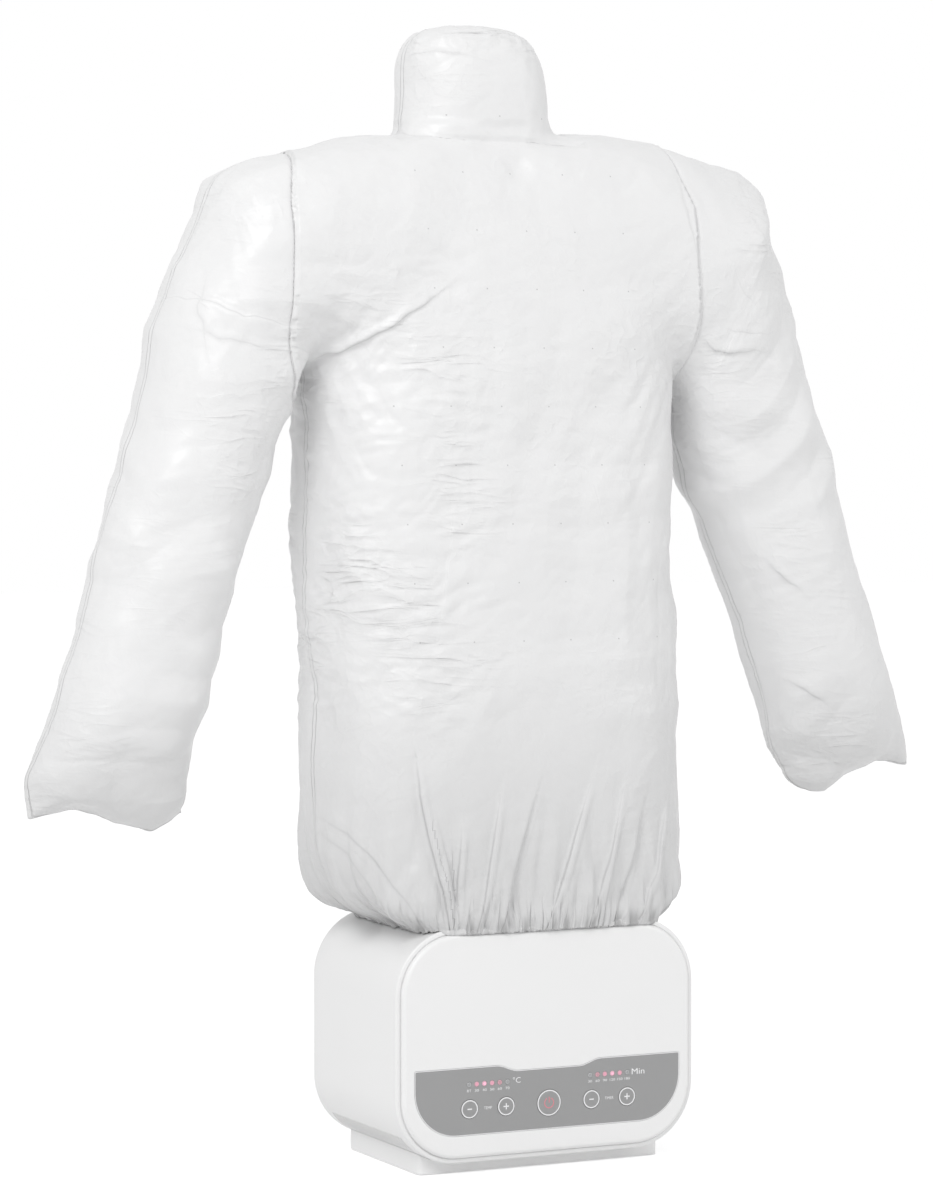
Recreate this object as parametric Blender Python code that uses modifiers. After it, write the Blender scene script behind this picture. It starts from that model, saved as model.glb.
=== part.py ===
"""Ironing dummy: a warm-air base unit that blows up a shirt-shaped air bag.

Metres, +Z up, front towards -Y. The origin is the middle of the plinth's underside.
"""
import math

import bmesh
import bpy
from mathutils import Matrix, Vector

# Clearances and overruns that every fit shares
GAP = 0.0003
SEAM_GAP = 0.0006
OVERRUN = 0.004

# Rear housing, a rounded tub that is open at the front
HOUSING_WIDTH = 0.330
HOUSING_HEIGHT = 0.232
BASE_DEPTH = 0.206
HOUSING_LIFT = 0.011
HOUSING_CORNER = 0.0655
HOUSING_WALL = 0.0028
HOUSING_BACK_EDGE = 0.004
LIP_EDGE = 0.0022
LIP_SETBACK = 0.005
LIP_BAND_DEPTH = 0.014

# Front cover, a shallow tray inside the housing's lip
COVER_INSET = 0.0055
COVER_GROOVE = 0.0008
COVER_WALL = 0.0026
COVER_SKIRT_DEPTH = 0.013
COVER_EDGE = 0.0045

# Foot plinth and its rubber feet
PLINTH_WIDTH = 0.2666
PLINTH_DEPTH = 0.166
PLINTH_CORNER = 0.005
FOOT_SHOW = 0.001
FOOT_HEIGHT = 0.004
FOOT_RADIUS = 0.009
FOOT_INSET = 0.018

# Control overlay, a grey film with a dipped top edge
OVERLAY_WIDTH = 0.2944
OVERLAY_TOP = 0.1058
OVERLAY_BOTTOM = 0.0389
OVERLAY_CORNER = 0.046
OVERLAY_TOP_CORNER = 0.002
OVERLAY_DIP = 0.0062
OVERLAY_DIP_INNER = 0.0334
OVERLAY_DIP_OUTER = 0.0586
OVERLAY_THICKNESS = 0.0006

# Keys and lights on the overlay
KEY_HEIGHT = 0.0648
KEY_INNER_PLACE = 0.0475
KEY_OUTER_PLACE = 0.0876
KEY_RADIUS = 0.0092
POWER_KEY_RADIUS = 0.0131
KEY_CLEARANCE = 0.0004
KEY_CAP_THICKNESS = 0.0022
KEY_PROUD = 0.0004
KEY_STEM_RADIUS = 0.0028
KEY_TRAVEL = 0.0005
LIGHT_HEIGHT = 0.089
LIGHT_FIRST = 0.046
LIGHT_PITCH = 0.0084
LIGHT_RADIUS = 0.0023
LIGHT_BAR_MARGIN = 0.0045
LIGHT_BAR_HEIGHT = 0.007
LIGHT_BAR_THICKNESS = 0.0025
LIGHT_COUNT = 6

# Control board behind the cover
BOARD_THICKNESS = 0.0016
CONTROL_BOARD_WIDTH = 0.222
CONTROL_BOARD_HEIGHT = 0.058
CONTROL_BOARD_SETBACK = 0.009
CONTROL_BOSS_PLACE = 0.1045
CONTROL_BOSS_RISE = 0.022
CONTROL_BOSS_RADIUS = 0.0035
SWITCH_SIZE = 0.006
SWITCH_HEIGHT = 0.0035
CHIP_WIDTH = 0.018
CHIP_HEIGHT = 0.012
CHIP_THICKNESS = 0.002

# Screw posts that tie the cover to the housing, reached from the back
POST_SIDE_INSET = 0.040
POST_END_INSET = 0.0455
POST_RADIUS = 0.0056
POST_BORE = 0.0040
COVER_BOSS_DEPTH = 0.018
SCREW_HOLE = 0.0018
SCREW_SHANK = 0.0015
SCREW_HEAD = 0.0033
SCREW_HEAD_HEIGHT = 0.0022
SCREW_LENGTH = 0.012
POST_WEB = 0.003

# Louvres on the lower side corners, and the slots of the rear intake
LOUVRE_COUNT = 24
LOUVRE_PITCH = 0.007
LOUVRE_WIDTH = 0.0030
LOUVRE_LENGTH = 0.021
LOUVRE_DEPTH = 0.012
LOUVRE_ANGLE = math.radians(45)
INTAKE_ROWS = 6
INTAKE_PITCH = 0.0080
INTAKE_SLOT = 0.0032
INTAKE_LENGTH = 0.056
INTAKE_SPREAD = 0.066
INTAKE_HEIGHT = 0.086

# Warm-air outlet through the housing's top
OUTLET_WIDTH = 0.190
OUTLET_DEPTH = 0.140
OUTLET_CORNER = 0.020
COLLAR_FLANGE = 0.007
COLLAR_FLANGE_HEIGHT = 0.0024
COLLAR_RISE = 0.0098
COLLAR_WALL = 0.0040
COLLAR_LEDGE = 0.0024
COLLAR_NECK = 0.012
GRILLE_THICKNESS = 0.0032
GRILLE_BAR = 0.0024
GRILLE_BARS = 14
GRILLE_RIM = 0.005

# Duct, heater and fan, stacked under the outlet
DUCT_MARGIN = 0.004
DUCT_WALL = 0.0020
DUCT_CORNER = 0.018
DUCT_FOOT = 0.190
HEATER_HEIGHT = 0.044
HEATER_WALL = 0.0026
HEATER_BARS = 3
HEATER_BAR_DEPTH = 0.014
HEATER_BAR_HEIGHT = 0.026
HEATER_FIN = 0.0012
HEATER_FINS = 11
HEATER_FIN_DEPTH = 0.034
HEATER_LEDGE = 0.004
CUTOUT_RADIUS = 0.008
CUTOUT_THICKNESS = 0.006
FAN_FRAME_HEIGHT = 0.034
FAN_BORE = 0.0725
FAN_RADIUS = 0.0700
FAN_LEG = 0.012
FAN_LEG_INSET = 0.010
FAN_SLOPE = math.radians(31)
FAN_BLADES = 7
FAN_CHORD = 0.030
FAN_BLADE_THICKNESS = 0.0022
BLADE_ROOT_SHARE = 0.9
HUB_RADIUS = 0.024
HUB_HEIGHT = 0.024
SHAFT_RADIUS = 0.0030
SHAFT_CLEARANCE = 0.0001
BRACKET_THICKNESS = 0.003
BRACKET_WIDTH = 0.030
BRACKET_SCREW_PLACE = 0.084
MOTOR_RADIUS = 0.029
MOTOR_HEIGHT = 0.042
MOTOR_NOSE_RADIUS = 0.010
MOTOR_NOSE_HEIGHT = 0.005

# Power board on the housing floor, and the inlet in the rear wall
POWER_BOARD_WIDTH = 0.140
POWER_BOARD_DEPTH = 0.036
POWER_BOARD_PLACE = -0.040
STANDOFF_HEIGHT = 0.008
STANDOFF_RADIUS = 0.004
STANDOFF_INSET = 0.007
CAPACITOR_RADIUS = 0.007
CAPACITOR_HEIGHT = 0.018
RELAY_WIDTH = 0.022
RELAY_DEPTH = 0.016
RELAY_HEIGHT = 0.015
CONNECTOR_WIDTH = 0.014
CONNECTOR_DEPTH = 0.012
CONNECTOR_HEIGHT = 0.010
INLET_PLACE = 0.100
INLET_HEIGHT = 0.052
INLET_WIDTH = 0.028
INLET_TALL = 0.020
INLET_FLANGE = 0.004
INLET_FLANGE_THICKNESS = 0.002
INLET_BODY_DEPTH = 0.022
INLET_SOCKET_DEPTH = 0.016
INLET_WALL = 0.002
INLET_PIN_WIDTH = 0.004
INLET_PIN_THICKNESS = 0.002
INLET_PIN_SPREAD = 0.007
INLET_PIN_LENGTH = 0.010
LEAD_RADIUS = 0.0025

# Air bag
BAG_THICKNESS = 0.0011
HEM_HALF_WIDTH = 0.1325
HEM_HEIGHT = 0.0145
HEM_OVERHANG = 0.0115
HEM_BAND = 0.0022
HEM_CORNER = 0.030
TORSO_HEIGHT = 0.770
TORSO_HALF_WIDTH = 0.192
TORSO_HALF_DEPTH = 0.119
ARM_REACH = 0.492
ARMHOLE_PLACE = 0.214
NECK_HALF_WIDTH = 0.074
NECK_HALF_DEPTH = 0.062
NECK_HEIGHT = 0.118
BAG_BACKSET = 0.010
BAG_SIDESET = 0.005
BAG_SETTLE_HEIGHT = 0.085
BAG_LEAN_SHARE = 0.0227
RING_POINTS = 24
SLEEVE_POINTS = 16

# Height, half width and half depth shares of the torso, and how square each ring is
TORSO_SHARES = (
    (0.000, 0.692, 0.890, 6.0),
    (0.006, 0.780, 0.915, 5.0),
    (0.022, 0.880, 0.945, 4.2),
    (0.052, 0.948, 0.975, 3.6),
    (0.110, 0.990, 1.000, 3.2),
    (0.265, 1.000, 1.010, 3.0),
    (0.460, 0.990, 0.995, 3.0),
    (0.642, 0.990, 0.975, 2.9),
    (0.785, 1.050, 0.935, 2.7),
    (0.880, 1.060, 0.860, 2.5),
    (0.945, 0.930, 0.750, 2.4),
    (0.980, 0.640, 0.620, 2.3),
    (1.000, 0.386, 0.521, 2.3),
)
# Inner and outer edge of each sleeve ring as shares of reach and height, its depth share and squareness
SLEEVE_SHARES = (
    ((0.122, 0.780), (0.142, 0.978), 0.44, 2.25),
    ((0.305, 0.720), (0.386, 0.984), 0.76, 2.25),
    ((0.396, 0.672), (0.533, 0.965), 0.80, 2.25),
    ((0.425, 0.645), (0.622, 0.921), 0.76, 2.25),
    ((0.443, 0.624), (0.679, 0.850), 0.70, 2.25),
    ((0.461, 0.594), (0.724, 0.769), 0.65, 2.25),
    ((0.490, 0.545), (0.768, 0.652), 0.60, 2.25),
    ((0.543, 0.450), (0.839, 0.516), 0.56, 2.25),
    ((0.604, 0.344), (0.900, 0.393), 0.54, 2.25),
    ((0.667, 0.233), (0.967, 0.252), 0.52, 2.25),
    ((0.691, 0.180), (1.000, 0.193), 0.40, 2.25),
    ((0.707, 0.145), (0.990, 0.160), 0.05, 2.25),
)
# Height and spread shares of the neck
NECK_SHARES = (
    (0.00, 1.00, 2.3),
    (0.30, 1.03, 2.5),
    (0.72, 1.02, 2.7),
    (0.90, 0.90, 2.7),
    (0.98, 0.66, 2.5),
    (1.00, 0.30, 2.3),
)

# Places that follow from the sizes above
FRONT = -BASE_DEPTH / 2
BACK = BASE_DEPTH / 2
LIP_FRONT = FRONT + LIP_SETBACK
HOUSING_MIDDLE = HOUSING_LIFT + HOUSING_HEIGHT / 2
HOUSING_TOP = HOUSING_LIFT + HOUSING_HEIGHT
HOUSING_FLOOR = HOUSING_LIFT + HOUSING_WALL
HOUSING_CEILING = HOUSING_TOP - HOUSING_WALL
COVER_INSIDE = FRONT + COVER_WALL
COVER_BOSS_END = COVER_INSIDE + COVER_BOSS_DEPTH
CONTROL_BOARD_FRONT = COVER_INSIDE + CONTROL_BOARD_SETBACK
CONTROL_BOARD_MIDDLE = (OVERLAY_TOP + OVERLAY_BOTTOM) / 2
SWITCH_FRONT = CONTROL_BOARD_FRONT - SWITCH_HEIGHT
FLANGE_BOTTOM = HOUSING_TOP + GAP
COLLAR_TOP = FLANGE_BOTTOM + COLLAR_RISE
COLLAR_BOTTOM = HOUSING_TOP - COLLAR_NECK
BORE_WIDTH = OUTLET_WIDTH - 2 * COLLAR_WALL
BORE_DEPTH = OUTLET_DEPTH - 2 * COLLAR_WALL
GRILLE_SEAT = HOUSING_TOP - GRILLE_THICKNESS
DUCT_WIDTH = OUTLET_WIDTH + 2 * DUCT_MARGIN + 2 * DUCT_WALL
DUCT_DEPTH = OUTLET_DEPTH + 2 * DUCT_MARGIN + 2 * DUCT_WALL
HEATER_TOP = DUCT_FOOT - GAP
HEATER_BOTTOM = HEATER_TOP - HEATER_HEIGHT
FAN_FRAME_TOP = HEATER_BOTTOM - GAP
FAN_FRAME_BOTTOM = FAN_FRAME_TOP - FAN_FRAME_HEIGHT
BRACKET_TOP = FAN_FRAME_BOTTOM - GAP
BRACKET_BOTTOM = BRACKET_TOP - BRACKET_THICKNESS
MOTOR_TOP = BRACKET_BOTTOM - GAP
MOTOR_BOTTOM = MOTOR_TOP - MOTOR_HEIGHT
FAN_MIDDLE = (FAN_FRAME_TOP + FAN_FRAME_BOTTOM) / 2
STANDOFF_TOP = HOUSING_FLOOR + STANDOFF_HEIGHT
POWER_BOARD_TOP = STANDOFF_TOP + GAP + BOARD_THICKNESS
MOUTH_HEIGHT = HOUSING_TOP - HEM_OVERHANG + HEM_HEIGHT + GAP
NECK_BASE = MOUTH_HEIGHT + TORSO_HEIGHT

KEYS = (
    ("temp_minus_key", -KEY_OUTER_PLACE, KEY_RADIUS),
    ("temp_plus_key", -KEY_INNER_PLACE, KEY_RADIUS),
    ("power_key", 0, POWER_KEY_RADIUS),
    ("timer_minus_key", KEY_INNER_PLACE, KEY_RADIUS),
    ("timer_plus_key", KEY_OUTER_PLACE, KEY_RADIUS),
)
POST_PLACE = HOUSING_WIDTH / 2 - POST_SIDE_INSET
POST_RISE = HOUSING_HEIGHT / 2 - POST_END_INSET
POSTS = [(side * POST_PLACE, HOUSING_MIDDLE + end * POST_RISE) for side in (-1, 1) for end in (-1, 1)]
AXIS_TURN = {
    "X": Matrix.Rotation(math.radians(90), 4, "Y"),
    "Y": Matrix.Rotation(math.radians(-90), 4, "X"),
    "Z": Matrix.Identity(4),
}


def clear_scene():
    """Remove what the scene holds, and make the two collections."""
    for thing in list(bpy.data.objects):
        bpy.data.objects.remove(thing, do_unlink=True)
    made = []
    for name in ("ironing_dummy", "cutters"):
        collection = bpy.data.collections.new(name)
        bpy.context.scene.collection.children.link(collection)
        made.append(collection)
    return made


PARTS, CUTTERS = clear_scene()


def material(name, colour, roughness, metallic=0.0):
    """A Principled material with a plain colour."""
    made = bpy.data.materials.new(name)
    made.use_nodes = True
    shader = made.node_tree.nodes["Principled BSDF"]
    shader.inputs["Base Color"].default_value = (*colour, 1.0)
    shader.inputs["Roughness"].default_value = roughness
    shader.inputs["Metallic"].default_value = metallic
    return made


WHITE_PLASTIC = material("white_plastic", (0.86, 0.86, 0.86), 0.35)
GREY_FILM = material("grey_film", (0.35, 0.35, 0.35), 0.40)
CLEAR_LIGHT = material("clear_light", (0.85, 0.55, 0.62), 0.25)
RUBBER = material("rubber", (0.30, 0.30, 0.30), 0.85)
BOARD = material("circuit_board", (0.05, 0.28, 0.14), 0.55)
DARK_PLASTIC = material("dark_plastic", (0.06, 0.06, 0.07), 0.50)
DUCT_PLASTIC = material("duct_plastic", (0.70, 0.69, 0.66), 0.55)
STEEL = material("steel", (0.62, 0.62, 0.64), 0.30, 1.0)
ALUMINIUM = material("aluminium", (0.78, 0.78, 0.80), 0.35, 1.0)
BAG_FABRIC = material("bag_fabric", (0.88, 0.88, 0.89), 0.45)
LEAD_SLEEVE = material("lead_sleeve", (0.80, 0.80, 0.78), 0.60)


def add_box(mesh, size, centre, turn=None):
    """A box of three sizes about a centre, turned about it if asked."""
    place = Matrix.Translation(centre) @ (turn or Matrix.Identity(4)) @ Matrix.Diagonal((*size, 1.0))
    bmesh.ops.create_cube(mesh, size=1.0, matrix=place)


def add_span(mesh, low, high):
    """A box between two opposite corners."""
    size = [top - bottom for bottom, top in zip(low, high)]
    centre = [(top + bottom) / 2 for bottom, top in zip(low, high)]
    add_box(mesh, size, centre)


def add_rod(mesh, radius, start, length, axis="Z", sides=16):
    """A round bar that starts at a point and runs along an axis."""
    turn = AXIS_TURN[axis]
    middle = turn.to_3x3() @ Vector((0, 0, length / 2))
    place = Matrix.Translation(Vector(start) + middle) @ turn
    bmesh.ops.create_cone(mesh, cap_ends=True, segments=sides, radius1=radius, radius2=radius,
                          depth=length, matrix=place)


def new_object(name, mesh_edit, finish=None):
    """An object from a bmesh: a part when it has a material, a cutter when it has none."""
    data = bpy.data.meshes.new(name)
    mesh_edit.to_mesh(data)
    mesh_edit.free()
    made = bpy.data.objects.new(name, data)
    if finish is None:
        CUTTERS.objects.link(made)
        made.hide_render = True
        made.display_type = "WIRE"
        return made
    PARTS.objects.link(made)
    data.materials.append(finish)
    data.shade_smooth()
    data.set_sharp_from_angle(angle=math.radians(32))
    return made


def combine(target, tool, operation="DIFFERENCE"):
    """Cut a part with a cutter, or join the cutter to it."""
    step = target.modifiers.new(tool.name, "BOOLEAN")
    step.operation = operation
    step.object = tool
    step.solver = "EXACT"


def rounded_box(name, size, centre, axis, corner, finish=None, segments=8, low_edge=0, high_edge=0):
    """A box with round corners about one axis, and rounded rims at its low and high ends."""
    way = "XYZ".index(axis)
    mesh = bmesh.new()
    add_box(mesh, size, (0, 0, 0))
    along = [edge for edge in mesh.edges
             if abs((edge.verts[0].co - edge.verts[1].co).normalized()[way]) > 0.9]
    bmesh.ops.bevel(mesh, geom=along, offset=corner, offset_type="OFFSET", segments=segments,
                    profile=0.5, affect="EDGES")
    for side, width in ((-1, low_edge), (1, high_edge)):
        if width:
            end = side * size[way] / 2
            rim = [edge for edge in mesh.edges
                   if all(math.isclose(vert.co[way], end, abs_tol=width / 100) for vert in edge.verts)]
            bmesh.ops.bevel(mesh, geom=rim, offset=width, offset_type="OFFSET", segments=2,
                            profile=0.5, affect="EDGES")
    bmesh.ops.translate(mesh, vec=centre, verts=mesh.verts)
    return new_object(name, mesh, finish)


def base_block(name, front, back, inset, finish=None, **edges):
    """A block with the housing's outline, drawn in by an inset, between two depths."""
    size = (HOUSING_WIDTH - 2 * inset, back - front, HOUSING_HEIGHT - 2 * inset)
    centre = (0, (front + back) / 2, HOUSING_MIDDLE)
    return rounded_box(name, size, centre, "Y", HOUSING_CORNER - inset, finish, 8, **edges)


def flat_ring(name, width, depth, corner, wall, low, high, finish=None):
    """A rounded frame about the Z axis with one wall thickness."""
    middle = (0, 0, (low + high) / 2)
    ring = rounded_box(name, (width, depth, high - low), middle, "Z", corner, finish, 4)
    hollow = (width - 2 * wall, depth - 2 * wall, high - low + 2 * OVERRUN)
    combine(ring, rounded_box(name + "_bore", hollow, middle, "Z", max(corner - wall, GAP), None, 4))
    return ring


def make_plinth():
    """The foot block under the housing, with pockets for the rubber feet."""
    high = HOUSING_LIFT - GAP
    size = (PLINTH_WIDTH, PLINTH_DEPTH, high)
    plinth = rounded_box("foot_plinth", size, (0, 0, high / 2), "Z", PLINTH_CORNER,
                         WHITE_PLASTIC, 3)
    pockets = bmesh.new()
    corners = [(side * (PLINTH_WIDTH / 2 - FOOT_INSET), end * (PLINTH_DEPTH / 2 - FOOT_INSET))
               for side in (-1, 1) for end in (-1, 1)]
    for x, y in corners:
        add_rod(pockets, FOOT_RADIUS + GAP, (x, y, -OVERRUN), OVERRUN + FOOT_HEIGHT - FOOT_SHOW + GAP)
    shanks = bmesh.new()
    for x, y in plinth_screw_places():
        add_rod(shanks, SCREW_HOLE, (x, y, 0), HOUSING_LIFT + OVERRUN, sides=8)
        add_rod(pockets, SCREW_HEAD + GAP, (x, y, -OVERRUN),
                OVERRUN + SCREW_HEAD_HEIGHT + 2 * GAP, sides=12)
    combine(plinth, new_object("plinth_pockets", pockets))
    combine(plinth, new_object("plinth_screw_holes", shanks))
    for index, (x, y) in enumerate(corners):
        foot = bmesh.new()
        add_rod(foot, FOOT_RADIUS, (x, y, -FOOT_SHOW), FOOT_HEIGHT)
        new_object(f"rubber_foot_{index + 1}", foot, RUBBER)


def plinth_screw_places():
    """Four screws that hold the plinth to the housing's floor."""
    reach = PLINTH_WIDTH / 4
    return [(side * reach, end * (PLINTH_DEPTH / 2 - FOOT_INSET)) for side in (-1, 1) for end in (-1, 1)]


def make_screw(name, place, axis, way=1):
    """A pan-head screw: its shank runs from the head's under face, along an axis or against it."""
    seat = Vector(place)
    along = AXIS_TURN[axis].to_3x3() @ Vector((0, 0, 1))
    sink = SCREW_HEAD_HEIGHT / 2
    head_start = seat - along * SCREW_HEAD_HEIGHT if way > 0 else seat
    shank_start = seat - along * sink if way > 0 else seat - along * SCREW_LENGTH
    head = bmesh.new()
    add_rod(head, SCREW_HEAD, head_start, SCREW_HEAD_HEIGHT, axis, 12)
    screw = new_object(name, head, STEEL)
    shank = bmesh.new()
    add_rod(shank, SCREW_SHANK, shank_start, SCREW_LENGTH + sink, axis, 8)
    combine(screw, new_object(name + "_shank", shank), "UNION")


def make_rear_housing():
    """The tub, its posts and standoffs, and every opening through its walls."""
    tub = base_block("rear_housing", LIP_FRONT, BACK, 0, WHITE_PLASTIC,
                     low_edge=LIP_EDGE, high_edge=HOUSING_BACK_EDGE)
    band_end = LIP_FRONT + LIP_BAND_DEPTH
    combine(tub, base_block("tub_mouth", LIP_FRONT - OVERRUN, band_end + OVERRUN,
                            COVER_INSET - COVER_GROOVE))
    combine(tub, base_block("tub_hollow", band_end, BACK - HOUSING_WALL, HOUSING_WALL))

    posts = bmesh.new()
    post_front = COVER_BOSS_END + GAP
    for x, z in POSTS:
        add_rod(posts, POST_RADIUS, (x, post_front, z), BACK - HOUSING_WALL / 2 - post_front, "Y", 16)
    for x, y in standoff_places():
        start = HOUSING_FLOOR - HOUSING_WALL / 2
        add_rod(posts, STANDOFF_RADIUS, (x, y, start), STANDOFF_TOP - start, "Z", 12)
    for x, y in plinth_screw_places():
        start = HOUSING_FLOOR - HOUSING_WALL / 2
        add_rod(posts, STANDOFF_RADIUS, (x, y, start), SCREW_LENGTH, "Z", 12)
    combine(tub, new_object("housing_posts", posts), "UNION")

    webs = bmesh.new()
    for x, z in POSTS:
        add_rod(webs, SCREW_HOLE, (x, post_front - OVERRUN, z), 2 * OVERRUN + POST_WEB, "Y", 8)
    combine(tub, new_object("post_webs", webs))

    holes = bmesh.new()
    for x, z in POSTS:
        web_back = post_front + POST_WEB
        add_rod(holes, POST_BORE, (x, web_back, z), BACK + OVERRUN - web_back, "Y", 16)
    for x, y in plinth_screw_places():
        add_rod(holes, SCREW_HOLE, (x, y, HOUSING_LIFT - OVERRUN), OVERRUN + SCREW_LENGTH, "Z", 8)
    for row in range(INTAKE_ROWS):
        z = INTAKE_HEIGHT + (row - (INTAKE_ROWS - 1) / 2) * INTAKE_PITCH
        for side in (-1, 1):
            size = (INTAKE_LENGTH, HOUSING_WALL + 2 * OVERRUN, INTAKE_SLOT)
            add_box(holes, size, (side * INTAKE_SPREAD / 2, BACK - HOUSING_WALL / 2, z))
    inlet_z = INLET_HEIGHT
    inlet = (INLET_WIDTH + 2 * GAP, HOUSING_WALL + 2 * OVERRUN, INLET_TALL + 2 * GAP)
    add_box(holes, inlet, (INLET_PLACE, BACK - HOUSING_WALL / 2, inlet_z))
    combine(tub, new_object("housing_holes", holes))

    outlet = rounded_box("outlet_hole", (OUTLET_WIDTH, OUTLET_DEPTH, HOUSING_WALL + 2 * OVERRUN),
                         (0, 0, HOUSING_TOP - HOUSING_WALL / 2), "Z", OUTLET_CORNER, None, 4)
    combine(tub, outlet)

    slots = bmesh.new()
    for side in (-1, 1):
        corner = Vector((side * (HOUSING_WIDTH / 2 - HOUSING_CORNER), 0, HOUSING_LIFT + HOUSING_CORNER))
        outward = Vector((side * math.cos(LOUVRE_ANGLE), 0, -math.sin(LOUVRE_ANGLE)))
        turn = Matrix.Rotation(side * LOUVRE_ANGLE, 4, "Y")
        for index in range(LOUVRE_COUNT):
            y = (index - (LOUVRE_COUNT - 1) / 2) * LOUVRE_PITCH
            middle = corner + outward * (HOUSING_CORNER - HOUSING_WALL / 2)
            add_box(slots, (LOUVRE_DEPTH, LOUVRE_WIDTH, LOUVRE_LENGTH), middle + Vector((0, y, 0)), turn)
    combine(tub, new_object("louvre_slots", slots))


def overlay_outline(grow=0):
    """The overlay's edge in X and Z, grown outwards: a dipped top and two large lower corners."""
    half = OVERLAY_WIDTH / 2 + grow
    top = OVERLAY_TOP + grow
    bottom = OVERLAY_BOTTOM - grow
    radius = OVERLAY_CORNER + grow
    top_radius = OVERLAY_TOP_CORNER + grow
    right = []
    for step in range(7):
        share = step / 6
        x = OVERLAY_DIP_INNER + (OVERLAY_DIP_OUTER - OVERLAY_DIP_INNER) * share
        right.append((x, top - OVERLAY_DIP * (1 + math.cos(math.pi * share)) / 2))
    for step in range(4):
        angle = math.radians(90 - 30 * step)
        right.append((half - top_radius + top_radius * math.cos(angle),
                      top - top_radius + top_radius * math.sin(angle)))
    for step in range(11):
        angle = math.radians(-9 * step)
        right.append((half - radius + radius * math.cos(angle),
                      bottom + radius + radius * math.sin(angle)))
    left = [(-x, z) for x, z in reversed(right)]
    return right + left


def outline_plate(name, outline, front, back, finish=None):
    """A flat plate of an outline in X and Z: a filled 2D curve, made a mesh."""
    curve = bpy.data.curves.new(name, "CURVE")
    curve.dimensions = "2D"
    curve.fill_mode = "BOTH"
    curve.extrude = (back - front) / 2
    line = curve.splines.new("POLY")
    line.points.add(len(outline) - 1)
    for point, (x, z) in zip(line.points, outline):
        point.co = (x, z, 0, 1)
    line.use_cyclic_u = True
    made = bpy.data.objects.new(name + "_curve", curve)
    made.matrix_world = Matrix.Translation((0, (front + back) / 2, 0)) @ Matrix.Rotation(
        math.radians(90), 4, "X")
    CUTTERS.objects.link(made)
    bpy.context.view_layer.update()
    place = made.matrix_world.copy()
    data = bpy.data.meshes.new_from_object(made.evaluated_get(bpy.context.evaluated_depsgraph_get()))
    bpy.data.objects.remove(made, do_unlink=True)
    mesh = bmesh.new()
    mesh.from_mesh(data)
    bpy.data.meshes.remove(data)
    bmesh.ops.remove_doubles(mesh, verts=mesh.verts, dist=GAP / 10)
    bmesh.ops.recalc_face_normals(mesh, faces=mesh.faces)
    plate = new_object(name, mesh, finish)
    plate.matrix_world = place
    return plate


def light_places(side):
    """The six light studs of one row, from the middle outwards."""
    return [side * (LIGHT_FIRST + index * LIGHT_PITCH) for index in range(LIGHT_COUNT)]


def control_holes(name):
    """One cutter for the key and light holes through the overlay and the cover."""
    holes = bmesh.new()
    depth = OVERRUN + COVER_WALL + OVERRUN / 2
    for key, x, radius in KEYS:
        add_rod(holes, radius + KEY_CLEARANCE, (x, FRONT - OVERRUN, KEY_HEIGHT), depth, "Y", 20)
    for side in (-1, 1):
        for x in light_places(side):
            add_rod(holes, LIGHT_RADIUS + GAP, (x, FRONT - OVERRUN, LIGHT_HEIGHT), depth, "Y", 8)
    return new_object(name, holes)


def make_front_cover():
    """The tray that closes the tub: a recess for the overlay, bosses, key and light holes."""
    back = FRONT + COVER_SKIRT_DEPTH
    cover = base_block("front_cover", FRONT, back, COVER_INSET, WHITE_PLASTIC, low_edge=COVER_EDGE)
    combine(cover, base_block("cover_hollow", COVER_INSIDE, back + OVERRUN, COVER_INSET + COVER_WALL))
    recess_floor = FRONT + OVERLAY_THICKNESS + GAP
    combine(cover, outline_plate("overlay_recess", overlay_outline(GAP), FRONT - OVERRUN, recess_floor))
    bosses = bmesh.new()
    for x, z in POSTS:
        start = COVER_INSIDE - COVER_WALL / 2
        add_rod(bosses, POST_RADIUS, (x, start, z), COVER_BOSS_END - start, "Y", 12)
    for x, z in control_boss_places():
        start = COVER_INSIDE - COVER_WALL / 3
        add_rod(bosses, CONTROL_BOSS_RADIUS, (x, start, z), CONTROL_BOARD_FRONT - GAP - start, "Y", 10)
    combine(cover, new_object("cover_bosses", bosses), "UNION")
    pilots = bmesh.new()
    for x, z in POSTS:
        add_rod(pilots, SCREW_HOLE, (x, COVER_BOSS_END - SCREW_LENGTH, z), SCREW_LENGTH + OVERRUN, "Y", 8)
    combine(cover, new_object("cover_pilots", pilots))
    combine(cover, control_holes("cover_holes"))


def control_boss_places():
    """Four bosses that carry the control board."""
    return [(side * CONTROL_BOSS_PLACE, CONTROL_BOARD_MIDDLE + end * CONTROL_BOSS_RISE)
            for side in (-1, 1) for end in (-1, 1)]


def make_overlay():
    """The grey film in the cover's recess."""
    film = outline_plate("control_overlay", overlay_outline(), FRONT, FRONT + OVERLAY_THICKNESS, GREY_FILM)
    combine(film, control_holes("overlay_holes"))


def make_keys():
    """Five round keys, each with a stem that stops short of its switch."""
    stem_end = SWITCH_FRONT - GAP - KEY_TRAVEL
    for name, x, radius in KEYS:
        cap = bmesh.new()
        front = FRONT - KEY_PROUD
        add_rod(cap, radius, (x, front, KEY_HEIGHT), KEY_CAP_THICKNESS, "Y", 20)
        key = new_object(name, cap, GREY_FILM)
        stem = bmesh.new()
        start = front + KEY_CAP_THICKNESS / 2
        add_rod(stem, KEY_STEM_RADIUS, (x, start, KEY_HEIGHT), stem_end - start, "Y", 8)
        combine(key, new_object(name + "_stem", stem), "UNION")


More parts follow.
